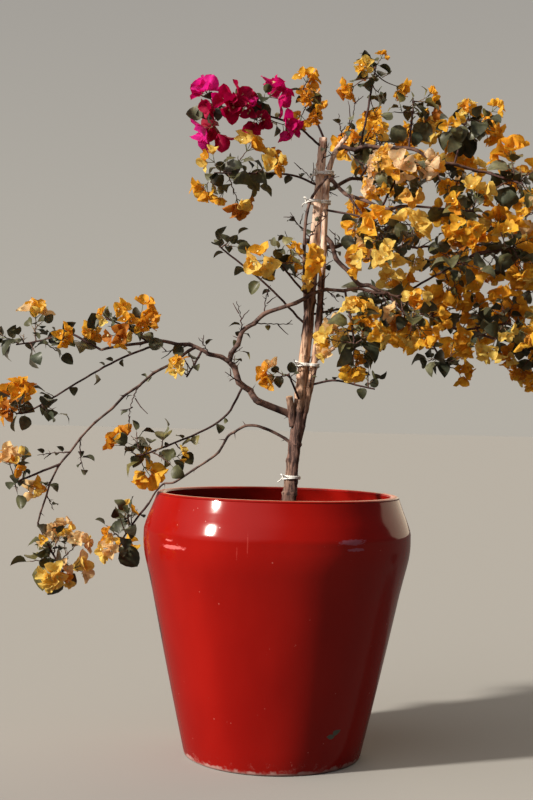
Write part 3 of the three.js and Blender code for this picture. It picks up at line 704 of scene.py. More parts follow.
class Bundle:
    """The middle and radius of each bundled stem at a height, and the middle of them all."""

    def __init__(self, height):
        self.discs = []
        for name in BUNDLED:
            for a, b, radius in LIMBS[name].straights():
                if a[2] <= height < b[2]:
                    self.discs.append((a + (b - a) * (height - a[2]) / (b[2] - a[2]), radius))
        self.centre = sum(middle for middle, radius in self.discs) / len(self.discs)

    def around(self, turn, lift, out=0.0):
        """A point on the twine that hugs the stems."""
        facing = np.array((math.cos(turn), math.sin(turn), 0))
        reach = max((middle - self.centre) @ facing + radius for middle, radius in self.discs)
        return self.centre + facing * (reach + TWINE_RADIUS + out) + (0, 0, lift)


def add_twine(mesh, path, strand_radius, closed=True):
    """Two-ply twine along a path: the section swells on two sides, which turn as it runs."""
    line = Line(*path)
    ply = line.length() / PLY_TURN

    def radius(share, turn):
        narrow = 1 if closed else min(1, 8 * (1 - share), 8 * share + 0.3)
        swell = 0.86 + 0.2 * math.cos(2 * (turn - 2 * math.pi * ply * share))
        return strand_radius * swell * max(0.3, narrow)

    roll_tube(mesh, line, radius, TWINE_SIDES, max(10, round(line.length() / TWINE_RING_EVERY)))


white_twine = mottled_finish(
    "white_twine", colour(228, 226, 222), colour(255, 254, 252), (900, 3), (0.3, 0.7),
    relief=((900, 3), 0.6, 0.0006), Roughness=0.8, Specular_IOR_Level=0.2, Sheen_Weight=0.2,
)
for number, height in enumerate(TIES):
    around = Bundle(height).around
    mesh = bmesh.new()
    for coil in (-1, 1):
        turns = np.linspace(0.0, 2 * math.pi, 25)
        lifts = [coil * COIL_APART + 0.8 * math.sin(turn * 1.5 + coil + number) for turn in turns]
        add_twine(mesh, [around(KNOT_TURN + turn, lift) for turn, lift in zip(turns, lifts)], COIL_RADIUS)
        tail = [
            around(KNOT_TURN, 0, 0.5),
            around(KNOT_TURN + 0.15 * coil, 2.5 * coil, 4),
            around(KNOT_TURN + 0.1 * coil, 6 * coil, 8),
            around(KNOT_TURN + 0.5 * coil, 7 * coil - 3, 13),
        ]
        add_twine(mesh, tail, TAIL_RADIUS, closed=False)
    bends = np.linspace(0, 5.6, 9)
    knot = [around(KNOT_TURN, 4.2 * math.sin(bend), 1.4 + 2.6 * math.cos(bend) * 0.7) for bend in bends]
    add_twine(mesh, knot, KNOT_RADIUS)
    bmesh.ops.recalc_face_normals(mesh, faces=mesh.faces)
    new_piece(f"twine_{number + 1}", mesh, [white_twine], [f"tie_{number + 1}"])

# The rule of growth. Each mass of foliage hangs on one stem that leaves a limb at a share of its way and
# runs through the mass's middle. Twigs branch from it in even directions turned by the mass's own seed,
# and bear leaves in turns of a third and a blossom or a leaf at the end. What would crowd is left out.
class Mass:
    """A mass of foliage within an ellipsoid, on a stem from a limb that may go by way of a point."""

    def __init__(self, limb, share, middle, half, twigs, blooms, via=None):
        self.middle = np.array(middle, float)
        self.half = np.array(half, float)
        self.twigs = twigs
        self.blooms = blooms
        self.via = via
        stops = [LIMBS[limb].line.at(share)] + ([] if via is None else [np.array(via, float)])
        end = self.middle + unit(self.middle - stops[-1]) * self.half * 0.6
        self.stem = Line(*stops, self.middle, end)

    def takes(self, item, reach, own_room):
        """Whether an item's tip is within reach of the mass, and all of it clear of what is there."""
        return np.linalg.norm((item.b - self.middle) / self.half) <= reach and space.is_clear(item, own_room)


MASSES = {
    "spray_low_front": Mass("arch_over_end", 0.4, (126, -108, 784), (58, 52, 62), 7, 0.9),
    "spray_arch_end": Mass("arch_over_end", 1, (222, -112, 818), (56, 56, 56), 7, 0.8),
    "spray_mid_low": Mass("bough_mid", 0.28, (186, -98, 940), (60, 56, 58), 7, 0.6),
    "spray_pale": Mass("bough_mid", 0.66, (203, -96, 1074), (58, 56, 54), 7, 1),
    "spray_mid_tip": Mass("bough_mid", 1, (306, -108, 1010), (60, 62, 58), 7, 0.7),
    "spray_low_mid": Mass("bough_low", 0.52, (292, -104, 902), (62, 60, 56), 7, 0.7),
    "spray_twiggy": Mass("bough_low", 0.6, (300, 24, 752), (54, 46, 40), 5, 0.2),
    "spray_low_tip": Mass("bough_low", 0.8, (388, -76, 806), (60, 60, 60), 7, 0.7),
    "spray_back_tip": Mass("bough_low", 0.9, (372, 128, 842), (74, 66, 62), 7, 0.6),
    "spray_right_low": Mass("bough_low", 1, (480, 26, 770), (58, 62, 56), 7, 0.7),
    "spray_far_front": Mass("bough_far", 0.72, (398, -86, 944), (60, 64, 62), 7, 0.8),
    "spray_right": Mass("bough_far", 1, (506, 10, 912), (66, 78, 68), 7, 0.8),
    "spray_crest": Mass("bough_high", 0.2, (160, -2, 1262), (52, 40, 58), 6, 0.5),
    "spray_high_left": Mass("bough_high", 0.42, (236, -4, 1206), (56, 54, 48), 7, 0.5),
    "spray_high_mid": Mass("bough_high", 0.66, (336, 6, 1184), (60, 58, 48), 7, 0.5),
    "spray_high_tip": Mass("bough_high", 0.82, (412, -74, 1072), (62, 62, 60), 7, 0.7),
    "spray_right_high": Mass("bough_high", 1, (500, 40, 1052), (62, 72, 66), 7, 0.7),
    "spray_by_stem": Mass("stem_right", 0.64, (134, -52, 1004), (42, 34, 56), 4, 0.3),
    "spray_back_high": Mass("bough_high_back", 0.7, (186, 176, 1176), (72, 66, 60), 7, 0.6),
    "spray_back_top": Mass("bough_high_back", 1, (320, 146, 1112), (70, 66, 60), 7, 0.6),
    "spray_back_mid": Mass("bough_mid_back", 0.66, (196, 196, 1020), (72, 66, 66), 7, 0.7),
    "spray_back_right": Mass("bough_mid_back", 1, (376, 156, 984), (72, 68, 68), 7, 0.7),
    "spray_back_low": Mass("trunk", 0.56, (206, 146, 868), (72, 66, 62), 7, 0.6),
    "spray_by_trunk": Mass("trunk", 0.6, (-2, -50, 906), (62, 36, 50), 6, 0.7),
    "sprig_leaves": Mass("trunk", 0.53, (-104, -38, 930), (40, 32, 44), 4, 0, via=(-28, -24, 872)),
    "spray_left_high": Mass("trunk", 0.88, (-92, -36, 1080), (70, 42, 56), 7, 0.6, via=(8, -24, 1082)),
    "magenta_spray": Mass("trunk", 0.975, (-82, -36, 1198), (106, 46, 54), 7, 0.7, via=(10, -22, 1178)),
    "top_spray": Mass("trunk", 1, (38, -12, 1224), (42, 36, 42), 6, 0.6),
    "arch_near": Mass("arch_left", 0.26, (-164, -52, 716), (42, 34, 36), 4, 0.3),
    "arch_mid": Mass("arch_left", 0.7, (-292, -34, 790), (72, 38, 46), 7, 0.6),
    "arch_tip": Mass("arch_left", 1, (-448, -14, 762), (90, 38, 46), 7, 0.2, via=(-404, -20, 778)),
    "shaded_spray": Mass("arch_left", 0.58, (-472, 48, 634), (70, 36, 38), 7, 0.3, via=(-324, 14, 722)),
    "whip_side": Mass("whip_low", 0.4, (-462, -84, 506), (36, 32, 42), 5, 0.5),
    "whip_end": Mass("whip_low", 1, (-404, -86, 366), (60, 42, 54), 7, 0.7),
    "lower_spray": Mass("arch_root", 0.66, (-228, -72, 562), (68, 38, 44), 7, 0.6, via=(-112, -44, 618)),
    "beside_pot": Mass("twig_over_rim", 1, (-288, 72, 402), (48, 40, 66), 7, 0.4),
    "sprig_right": Mass("trunk", 0.37, (150, -22, 690), (44, 36, 44), 4, 0, via=(98, -12, 700)),
    "sprig_front": Mass("trunk", 0.33, (20, -54, 694), (42, 34, 44), 4, 0.7),
}
STEM_RADII = (3, 1.9)
STEM_STEPS = 6
TWIG_RADIUS = 1.2
LEAF_LENGTH = 52
LEAF_FORWARD = 0.35
LEAF_DROOP = 0.2
LEAF_SPACING = 17
FIRST_TWIG, FIRST_TWIG_BY_WAY = 0.34, 0.52
WAY_TRIES, TRY_TURN = 5, 0.9
END_REACH, LEAF_REACH = 1.6, 1.5
END_LEAF_WIDTH = 0.74
BLOSSOM_REACH = 36
BLOSSOM_CUP = 0.42
SMALLER_TRIES = (1, 0.85, 0.7)
GAP = 0.3
POT_GAP = 3
OWN_ROOM = 0.5
THIRD = 2 * math.pi / 3
GOLDEN_TURN = math.pi * (3 - math.sqrt(5))
NOTHING = np.zeros(3)
TIE_OWNER, WOOD_OWNER = -2, -1
MOST_ITEMS = 6000
TINY = 1e-6


class Item:
    """Something that takes space: a line from a to b, with a radius, and as broad as u and v sideways.
    Only a blossom has a reach."""

    reach = 0

    def __init__(self, owner, a, b, radius, u=NOTHING, v=NOTHING, wood=False):
        self.owner = owner
        self.a, self.b, self.u, self.v = a, b, u, v
        self.radius = radius
        self.wood = wood


class Twig(Item):
    """A straight twig with a heading, and a side and a top direction turned round it by its roll."""

    def __init__(self, owner, a, b, roll, rings=2):
        super().__init__(owner, a, b, TWIG_RADIUS, wood=True)
        self.heading = unit(b - a)
        self.side = -out_from(self.heading, roll)
        self.top = np.cross(self.side, self.heading)
        self.rings = rings
        self.leaves = {}
        self.end = None

    def around(self, angle):
        return self.side * math.sin(angle) + self.top * math.cos(angle)

    def at(self, share):
        return self.a + (self.b - self.a) * share

    def length(self):
        return np.linalg.norm(self.b - self.a)


class Space:
    """All the space in use, kept as rows of numbers so that an item is set against all of it at once."""

    def __init__(self, most):
        self.rows = np.zeros((most, 13))
        self.owners = np.zeros(most, int)
        self.wood = np.zeros(most, bool)
        self.count = 0

    def take(self, *items):
        for item in items:
            self.rows[self.count] = (*item.a, *(item.b - item.a), *item.u, *item.v, item.radius)
            self.owners[self.count] = item.owner
            self.wood[self.count] = item.wood
            self.count += 1

    def is_clear(self, item, own_room):
        """Whether an item is clear of the pot and of all that took space before. What has the same owner may
        come closer, and wood may meet its own wood. Rows are compared by the gap between their lines."""
        if not all(clear_of_pot(spot) for spot in (item.a, item.b, item.b + item.u, item.b - item.u)):
            return False
        rows = self.rows[: self.count]
        own = self.owners[: self.count] == item.owner
        starts, ways = rows[:, 0:3], rows[:, 3:6]
        way = item.b - item.a
        between = item.a - starts
        a, b, c = way @ way, ways @ way, between @ way
        e, f = (ways * ways).sum(1), (ways * between).sum(1)
        spread = a * e - b * b
        s = np.where(spread > TINY, np.clip((b * f - c * e) / np.maximum(spread, TINY), 0, 1), 0)
        t = np.where(e > TINY, (b * s + f) / np.maximum(e, TINY), 0)
        beyond = (t < 0) | (t > 1)
        t = np.clip(t, 0, 1)
        s = np.where(beyond, np.clip((b * t - c) / a, 0, 1) if a > TINY else 0, s)
        lines = item.a + s[:, None] * way - starts - t[:, None] * ways
        apart = np.linalg.norm(lines, axis=1)
        lines = lines / np.where(apart > 0, apart, 1)[:, None]
        mine = item.radius + np.hypot(lines @ item.u, lines @ item.v)
        theirs = rows[:, 12] + np.hypot((lines * rows[:, 6:9]).sum(1), (lines * rows[:, 9:12]).sum(1))
        room = np.where(own, own_room, 1)
        free = apart > (mine + theirs) * room + 2 * GAP
        return bool(np.all(free | (own & self.wood[: self.count] & item.wood)))


def clear_of_pot(spot):
    above = spot[2] > POT_HEIGHT + POT_GAP
    return above or math.hypot(spot[0], spot[1]) > wall_radius(spot[2]) + POT_GAP


def even_direction(number, count, turn):
    """One of count directions spread evenly over a ball."""
    height = 1 - (2 * number + 1) / count
    across = math.sqrt(1 - height * height)
    angle = number * GOLDEN_TURN + turn
    return np.array((across * math.cos(angle), across * math.sin(angle), height))


def leant(way, heading):
    """A direction turned as the shortest turn takes straight up to the heading."""
    q = np.array((-heading[1], heading[0], 0.0))
    w = 1 + heading[2]
    size = math.sqrt(q @ q + w * w)
    q, w = q / size, w / size
    return way + 2 * w * np.cross(q, way) + 2 * np.cross(q, np.cross(q, way))


def side_leaf(twig, ring, length):
    """A leaf at one of a twig's rings, which leans forward and droops."""
    foot = twig.a + (twig.b - twig.a) * ring / twig.rings
    out = unit(twig.around(THIRD * ring) + twig.heading * LEAF_FORWARD) * length
    tip = foot + out - (0, 0, LEAF_DROOP * length)
    return Item(twig.owner, foot, tip, TWIG_RADIUS, (twig.b - twig.a) / twig.rings)


def end_leaf(twig, length):
    """The leaf that carries a twig on."""
    along = twig.heading * length - (0, 0, LEAF_DROOP * length)
    u = twig.side * END_LEAF_WIDTH * length / 2
    v = unit(np.cross(u, along)) * TWIG_RADIUS
    return Item(twig.owner, twig.b, twig.b + along, 0, u, v)


def blossom(twig, reach):
    """The space of a cup of bracts at a twig's end."""
    tip = twig.b + twig.heading * BLOSSOM_CUP * reach
    u, v = twig.around(THIRD / 2) * reach, twig.around(THIRD / 2 + math.pi / 2) * reach
    flower = Item(twig.owner, twig.b, tip, 2 * TWIG_RADIUS, u, v)
    flower.reach = reach
    return flower


def grow_twig(mass, number, start, out):
    """A twig with the end it bears, or nothing where it would crowd something else."""
    seed = mass.seed
    target = mass.middle + out * mass.half * (0.65 + 0.3 * chance(seed, 10 + number))
    twig = Twig(mass.owner, start, target, 2 * math.pi * chance(seed, 40 + number))
    if not space.is_clear(twig, OWN_ROOM):
        return None
    flowers = chance(seed, 70 + number) < mass.blooms
    full = (BLOSSOM_REACH if flowers else LEAF_LENGTH) * (0.8 + 0.35 * chance(seed, 300 + number))
    for smaller in SMALLER_TRIES:
        twig.end = (blossom if flowers else end_leaf)(twig, full * smaller)
        if mass.takes(twig.end, END_REACH, OWN_ROOM):
            return twig
    return None


def grow_mass(mass):
    """The twigs of a mass, each with its leaves and its end."""
    turn = 2 * math.pi * chance(mass.seed, 0)
    heading = mass.stem.heading(1)
    first = FIRST_TWIG if mass.via is None else FIRST_TWIG_BY_WAY
    for i in range(mass.twigs):
        start = mass.stem.at(1 - (1 - first) * (i + 0.5) / mass.twigs)
        turns = (turn + TRY_TURN * attempt for attempt in range(WAY_TRIES))
        ways = (leant(even_direction(i, mass.twigs, tried), heading) for tried in turns)
        grown = (grow_twig(mass, i, start, way) for way in ways)
        twig = next((twig for twig in grown if twig), None)
        if twig is None:
            continue
        space.take(twig.end)
        twig.rings = 1 + max(1, min(4, math.floor(twig.length() / LEAF_SPACING + 0.5)))
        for ring in range(1, twig.rings):
            leaf = side_leaf(twig, ring, LEAF_LENGTH * (0.8 + 0.35 * chance(mass.seed, 100 + 10 * i + ring)))
            if mass.takes(leaf, LEAF_REACH, OWN_ROOM):
                twig.leaves[ring] = leaf
        space.take(twig, *twig.leaves.values())
        yield twig


space = Space(MOST_ITEMS)
for number, (name, limb) in enumerate(LIMBS.items()):
    limb.owner = WOOD_OWNER - 10 * number
    space.take(*(Item(limb.owner, a, b, radius, wood=True) for a, b, radius in limb.straights()))
    if name in STUMPS:
        root, tip = STUMPS[name].line.points
        space.take(Item(limb.owner, root, tip, max(STUMPS[name].radii), wood=True))
for height in TIES:
    bundle = Bundle(height)
    widest = max(np.linalg.norm(middle - bundle.centre) + radius for middle, radius in bundle.discs)
    half = widest + 3 * TWINE_RADIUS
    broad = np.array((half, 0, 0)), np.array((0, half, 0))
    space.take(Item(TIE_OWNER, bundle.centre, bundle.centre, TWINE_RADIUS, *broad))
for number, mass in enumerate(MASSES.values()):
    mass.owner, mass.seed = number, 100 + number
    for i in range(STEM_STEPS):
        a, b = mass.stem.at(i / STEM_STEPS), mass.stem.at((i + 1) / STEM_STEPS)
        space.take(Item(mass.owner, a, b, taper(*STEM_RADII)(i / STEM_STEPS), wood=True))
for mass in MASSES.values():
    mass.grown = list(grow_mass(mass))

# Finer growth. Short shoots fork from the twigs within the reach that their mass has, small leaves stand
# along each mass's stem, and thorny spurs on the limbs, all clear of limbs, ties and pot.
FINE_ROOM = 0.22
SHOOT_REACH, FINE_REACH = 1.1, 1.3
FINE_SHOOTS = 4
FINE_LEAF = 33
FINE_BLOSSOM = 25
BARE_SHARE = 0.26
STEM_LEAF_SPACING = 15
STEM_LEAF_SHARE = 0.7
SPUR_SHARE = 0.8
SHORTEST_SPUR, SPUR_SPREAD = 24, 62
SPUR_RING_EVERY, SPUR_FORK_EVERY = 12, 26
SPUR_LEAVES, WHIP_LEAVES = 0.45, 0.9
LOW = POT_HEIGHT + 130
WHIP_SIDE = -340


def grow_fine(mass):
    """Short side shoots on a mass's twigs. Some are bare, and the rest have leaves and their own end."""
    seed = mass.seed
    for number, twig in enumerate(mass.grown):
        for fork in range(FINE_SHOOTS):
            place = 1000 + 50 * number + fork
            start = twig.at((fork + 0.3 + 0.6 * chance(seed, place)) / FINE_SHOOTS)
            angle = GOLDEN_TURN * fork + 2 * math.pi * chance(seed, place + 10)
            way = unit(twig.around(angle) + 0.7 * twig.heading + (0, 0, 0.25))
            tip = start + way * (14 + 18 * chance(seed, place + 20))
            shoot = Twig(mass.owner, start, tip, 6 * chance(seed, place + 30), rings=3)
            if not mass.takes(shoot, SHOOT_REACH, FINE_ROOM):
                continue
            if chance(seed, place + 2200) < BARE_SHARE:
                space.take(shoot)
                yield shoot
                continue
            size = 0.8 + 0.4 * chance(seed, place + 40)
            flowers = chance(seed, place + 2000) < mass.blooms * 0.7
            shoot.end = blossom(shoot, FINE_BLOSSOM * size) if flowers else end_leaf(shoot, FINE_LEAF * size)
            if not mass.takes(shoot.end, FINE_REACH, FINE_ROOM):
                continue
            for ring in (1, 2):
                leaf = side_leaf(shoot, ring, FINE_LEAF * (0.6 + 0.4 * chance(seed, place + 2100 + ring)))
                if mass.takes(leaf, FINE_REACH, FINE_ROOM):
                    shoot.leaves[ring] = leaf
            space.take(shoot, shoot.end, *shoot.leaves.values())
            yield shoot


def grow_stem_leaves(mass):
    """Leaves straight on a mass's stem, smaller towards its foot."""
    seed = mass.seed
    first = 0.3 if mass.via is None else 0.2
    count = round(mass.stem.length() * (1 - first) / STEM_LEAF_SPACING)
    for i in range(count):
        share = first + (1 - first) * (i + 0.5) / count
        foot, heading = mass.stem.at(share), mass.stem.heading(share)
        node = Twig(mass.owner, foot, foot + heading, 2.4 * i + 2 * chance(seed, 3000 + i))
        size = (13 + 20 * share) * (0.75 + 0.45 * chance(seed, 3100 + i))
        tip = foot + unit(node.side + 0.5 * heading + (0, 0, 0.1)) * size - (0, 0, LEAF_DROOP * size)
        blade_room = Item(mass.owner, foot + (tip - foot) * 0.3, tip, 0.6)
        if chance(seed, 3200 + i) < STEM_LEAF_SHARE and space.is_clear(blade_room, 0.1):
            leaf = Item(mass.owner, foot, tip, TWIG_RADIUS)
            space.take(leaf)
            yield leaf


def grow_spurs(limb, seed):
    """Thin twigs on a limb's nodes, leaning forward along it, with side shoots on the longer ones. They have
    few leaves, but for those of the hanging whip. None stands low down on the pot's side of it."""
    for number, (share, turn) in enumerate(limb.nodes):
        foot, heading = limb.drawn.at(share), limb.drawn.heading(share)
        low = foot[2] < LOW
        if chance(seed, number) > SPUR_SHARE or (low and foot[0] > WHIP_SIDE):
            continue
        length = SHORTEST_SPUR + SPUR_SPREAD * chance(seed, 40 + number)
        rings = max(3, round(length / SPUR_RING_EVERY))
        tip = foot + unit(out_from(heading, turn + 1) + heading * 0.9) * length
        spur = Twig(limb.owner, foot, tip, 6 * chance(seed, 60 + number), rings)
        if not space.is_clear(spur, FINE_ROOM):
            continue
        leafy = WHIP_LEAVES if low else SPUR_LEAVES
        for ring in range(spur.rings - 1, 0, -1):
            leaf = side_leaf(spur, ring, 12 + 14 * chance(seed, 80 + 6 * number + ring))
            if chance(seed, 300 + 6 * number + ring) < leafy and space.is_clear(leaf, FINE_ROOM):
                spur.leaves[ring] = leaf
        space.take(spur, *spur.leaves.values())
        yield spur
        for fork in range(round(length / SPUR_FORK_EVERY)):
            start = spur.at(0.35 + 0.25 * fork)
            way = unit(spur.around(GOLDEN_TURN * (fork + number)) + spur.heading)
            shoot = Twig(limb.owner, start, start + way * length * (0.5 - 0.12 * fork), 0)
            if space.is_clear(shoot, FINE_ROOM):
                space.take(shoot)
                yield shoot


for mass in MASSES.values():
    mass.fine = list(grow_fine(mass))
    mass.stem_leaves = list(grow_stem_leaves(mass))
spurs = [spur for number, limb in enumerate(LIMBS.values()) for spur in grow_spurs(limb, 1100 + number)]

# The twigs and stalks. Slender purple-brown wood, green at the youngest ends, in short straight lengths
# that turn a little at each leaf node, with small sharp thorns.
TWIG_TINTS = ((66, 44, 42), (88, 62, 54), (116, 94, 72), (96, 98, 62))
STALK_SIDES = 5
DRAWN_STEM = 0.8
DRAWN_TWIG, DRAWN_SHOOT, DRAWN_SPUR = (TWIG_RADIUS * 1.2, 0.8), (1.0, 0.6), (1.3, 0.6)
TWIG_BOW, TWIG_KINK = 0.16, 1.3
TWIG_THORN, LIMB_THORN, THORN_SPREAD = 6, 8, 6
TWIG_THORN_SHARE, LIMB_THORN_SHARE = 0.5, 0.6
GREEN_SHARE = 0.4
STEM_RING_EVERY = 9


class Sprays:
    """The parts of one side of the plant, gathered before each kind is joined into a piece. A part is its
    corners in millimetres, its three-cornered faces and the number of its finish."""

    def __init__(self, name, names):
        self.name = name
        self.names = names
        self.stalks = []
        self.leaves = []
        self.flowers = []
        self.bracts = {"golden": [], "peach": [], "magenta": []}

    def join(self, kind, parts, finishes, slot, names=None):
        """Makes one piece of a kind's parts. It stands for the named masses, or for all of this side."""
        name = f"{kind}_{self.name}"
        starts = np.cumsum([0] + [len(corners) for corners, faces, finish in parts])
        corners = np.vstack([corners for corners, faces, finish in parts]) * MM
        faces = np.vstack([part[1] + start for part, start in zip(parts, starts)])
        worn = np.concatenate([np.full(len(part[1]), part[2]) for part in parts])
        mesh = bpy.data.meshes.new(name)
        mesh.vertices.add(len(corners))
        mesh.vertices.foreach_set("co", corners.astype(np.float32).ravel())
        mesh.loops.add(faces.size)
        mesh.loops.foreach_set("vertex_index", faces.astype(np.int32).ravel())
        mesh.polygons.add(len(faces))
        mesh.polygons.foreach_set("loop_start", np.arange(0, faces.size, 3, dtype=np.int32))
        mesh.polygons.foreach_set("material_index", worn.astype(np.int32))
        mesh.update(calc_edges=True)
        place_piece(bpy.data.objects.new(name, mesh), finishes, names or self.names)


BACK = [name for name in MASSES if name.startswith("spray_back")]
LEFT = [name for name, mass in MASSES.items() if mass.middle[0] < 60]
FRONT = [name for name in MASSES if name not in BACK + LEFT]
SIDES = [Sprays("left", LEFT), Sprays("crown_front", FRONT), Sprays("crown_back", BACK)]


def tinted_finishes(name, tints, shades, *noises, **sockets):
    """A mottled finish for each tint, from a darker to a paler shade of it."""
    return [
        mottled_finish(f"{name}_{i + 1}", *(colour(*tint, shade) for shade in shades), *noises, **sockets)
        for i, tint in enumerate(tints)
    ]


def stalk_along(points, radii):
    """A thin tube's corners and three-cornered faces, closed to a point at its end."""
    points = np.array(points, float)
    frames = frames_along([unit(way) for way in np.gradient(points, axis=0)])
    turns = np.arange(STALK_SIDES) * 2 * math.pi / STALK_SIDES
    rings = [
        middle + radius * (np.cos(turns)[:, None] * side + np.sin(turns)[:, None] * top)
        for middle, radius, (side, top) in zip(points, radii, frames)
    ]
    corners = np.vstack((*rings, [points[-1]]))
    faces = []
    for ring in range(len(points)):
        for corner in range(STALK_SIDES):
            here = ring * STALK_SIDES + corner
            beside = ring * STALK_SIDES + (corner + 1) % STALK_SIDES
            if ring + 1 < len(points):
                across = beside + STALK_SIDES
                faces += [(here, beside, across), (here, across, here + STALK_SIDES)]
            else:
                faces.append((here, beside, len(corners) - 1))
    return corners, np.array(faces)


def twig_path(twig, seed, place):
    """Points of a twig that bows a little and turns at each of its nodes."""
    shares = np.linspace(0, 1, 2 * twig.rings + 1)
    length = twig.length()
    bow = (chance(seed, place) - 0.5) * TWIG_BOW * length
    points = twig.at(shares[:, None])
    points += twig.top * (bow * np.sin(math.pi * shares))[:, None]
    kinks = np.resize((TWIG_KINK, -TWIG_KINK), 2 * twig.rings - 1) * min(1, length / 60)
    points[1:-1] += twig.side * kinks[:, None]
    return points


def small_shape(mesh):
    """A small bmesh's corners and three-cornered faces, to be copied many times."""
    bmesh.ops.remove_doubles(mesh, verts=mesh.verts, dist=1e-5)
    bmesh.ops.triangulate(mesh, faces=mesh.faces)
    mesh.verts.index_update()
    corners = np.array([vert.co for vert in mesh.verts])
    faces = np.array([[vert.index for vert in face.verts] for face in mesh.faces])
    mesh.free()
    return corners, faces


def placed(shape, finish, foot, across, along, up):
    """A copy of a small shape at its foot, with its own three directions turned and drawn out to these."""
    corners, faces = shape
    return foot + corners @ np.array((across, along, up)), faces, finish


def add_cone(mesh, sides, foot_radius, tip_radius, depth, place):
    bmesh.ops.create_cone(
        mesh, cap_ends=False, segments=sides, radius1=foot_radius, radius2=tip_radius,
        depth=depth, matrix=place,
    )


STANDING = Matrix.Translation((0, 0, 0.5))
thorn_mesh = bmesh.new()
add_cone(thorn_mesh, 4, 0.09, 0, 1, STANDING)
THORN = small_shape(thorn_mesh)


def thorn(foot, way, length, finish):
    """A thorn from its foot, pointing that way."""
    side = unit(np.cross(way, (0.31, 0.2, 0.93)))
    return placed(THORN, finish, foot, side * length, np.cross(way, side) * length, way * length)


def add_twig(sprays, twig, seed, number, thick, finish):
    """A twig's tube, thorned at some of its nodes. Its path is kept for the leaves."""
    twig.path = twig_path(twig, seed, 120 + number)
    sprays.stalks.append((*stalk_along(twig.path, np.linspace(*thick, len(twig.path))), finish))
    for ring in range(1, twig.rings):
        if chance(seed, 500 + 10 * number + ring) < TWIG_THORN_SHARE:
            way = unit(twig.around(THIRD * ring + 2.6) + twig.heading * 0.5)
            length = TWIG_THORN + THORN_SPREAD * chance(seed, 900 + number)
            sprays.stalks.append(thorn(twig.path[2 * ring], way, length, finish))


def add_stalks(sprays, mass, seed):
    """A mass's stem, which wanders a little, and its twigs and shoots, the youngest of them green."""
    shares = np.linspace(0, 1, max(8, round(mass.stem.length() / STEM_RING_EVERY)))
    stem = np.array([mass.stem.at(share) for share in shares])
    wander = np.array([(chance(seed, i) - 0.5, chance(seed, 60 + i) - 0.5, 0) for i in range(len(shares))])
    stem[1:-1] += wander[1:-1] * 2
    radii = [DRAWN_STEM * taper(*STEM_RADII)(share) for share in shares]
    sprays.stalks.append((*stalk_along(stem, radii), 0))
    for number, twig in enumerate(mass.grown):
        add_twig(sprays, twig, seed, number, DRAWN_TWIG, 1)
    for number, twig in enumerate(mass.fine, len(mass.grown)):
        green = chance(seed, 300 + number) > 1 - GREEN_SHARE
        add_twig(sprays, twig, seed, number, DRAWN_SHOOT, 2 + green)


def add_limb_thorns(sprays, limb, seed):
    """Thorns at some of a limb's leaf nodes."""
    for place, (share, turn) in enumerate(limb.nodes):
        if chance(seed, place) <= LIMB_THORN_SHARE:
            heading = limb.drawn.heading(share)
            out = out_from(heading, turn)
            foot = limb.drawn.at(share) + out * limb.radius(share) * 0.9
            length = LIMB_THORN + THORN_SPREAD * chance(seed, 50 + place)
            sprays.stalks.append(thorn(foot, unit(out + heading * 0.45), length, 0))


twig_finishes = tinted_finishes(
    "twig_bark", TWIG_TINTS, (0.8, 1.25), (320, 3), (0.35, 0.65), ((320, 3), 0.4, 0.0006),
    Roughness=0.7, Specular_IOR_Level=0.3,
)
for number, limb in enumerate(LIMBS.values()):
    add_limb_thorns(SIDES[0], limb, 800 + number)
for number, spur in enumerate(spurs):
    add_twig(SIDES[0], spur, 1300, number, DRAWN_SPUR, 0)
for sprays in SIDES:
    for mass in (MASSES[name] for name in sprays.names):
        add_stalks(sprays, mass, 400 + mass.owner)
    sprays.join("twigs", sprays.stalks, twig_finishes, "bark")

# The leaves. Oval with a drawn-out tip, folded along the midrib, arched and waved at the edge, on a short
# stalk, in dull olive greys that each spray has a few of. A real leaf is a good four fifths of the solid's.
LEAF_TINTS = ((80, 80, 52), (58, 60, 42), (100, 100, 76), (70, 76, 60), (108, 100, 56))
LEAF_SHARES = (4, 3.4, 2, 2.2, 0.7)
LEAF_SIZE = 0.84
LEAF_STALK = 0.16


def blade(across, along, widest, half_width, narrowing, relief):
    """A flat grid drawn in to a leaf's outline and raised by relief(t, s, width). It lies along +Y."""
    mesh = bmesh.new()
    grid = bmesh.ops.create_grid(mesh, x_segments=across, y_segments=along, size=0.5)["verts"]
    for vert in grid:
        even, s = min(max(vert.co.y + 0.5, 0), 1), vert.co.x * 2
        t = 0.4 * even + 0.6 * (1 - math.cos(math.pi * even)) / 2
        width = half_width * (t / widest) ** (narrowing * widest)
        width *= ((1 - t) / (1 - widest)) ** (narrowing * (1 - widest))
        vert.co = (s * width, t, relief(t, s, width))
    return mesh


def leaf_shape(bow, fold, wave, waves, curl):
    """A leaf one long on its stalk: bowed up, folded at the midrib, waved at the edge and curled down."""

    def relief(t, s, width):
        arch = math.sin(math.pi * t)
        edge = wave * math.sin(2 * math.pi * waves * t + (1 if s > 0 else 2.2)) * s * s
        return bow * arch + fold * abs(s) * width + edge * arch - curl * t**3

    mesh = blade(4, 6, 0.4, 0.36, 1.3, relief)
    squeeze = Matrix.Translation((0, LEAF_STALK, 0)) @ Matrix.Diagonal((1, 1 - LEAF_STALK, 1, 1))
    bmesh.ops.transform(mesh, matrix=squeeze, verts=mesh.verts)
    lying = Matrix.Translation((0, LEAF_STALK / 2, 0)) @ Matrix.Rotation(-math.pi / 2, 4, "X")
    add_cone(mesh, 3, 0.018, 0.012, LEAF_STALK + 0.02, lying)
    return small_shape(mesh)


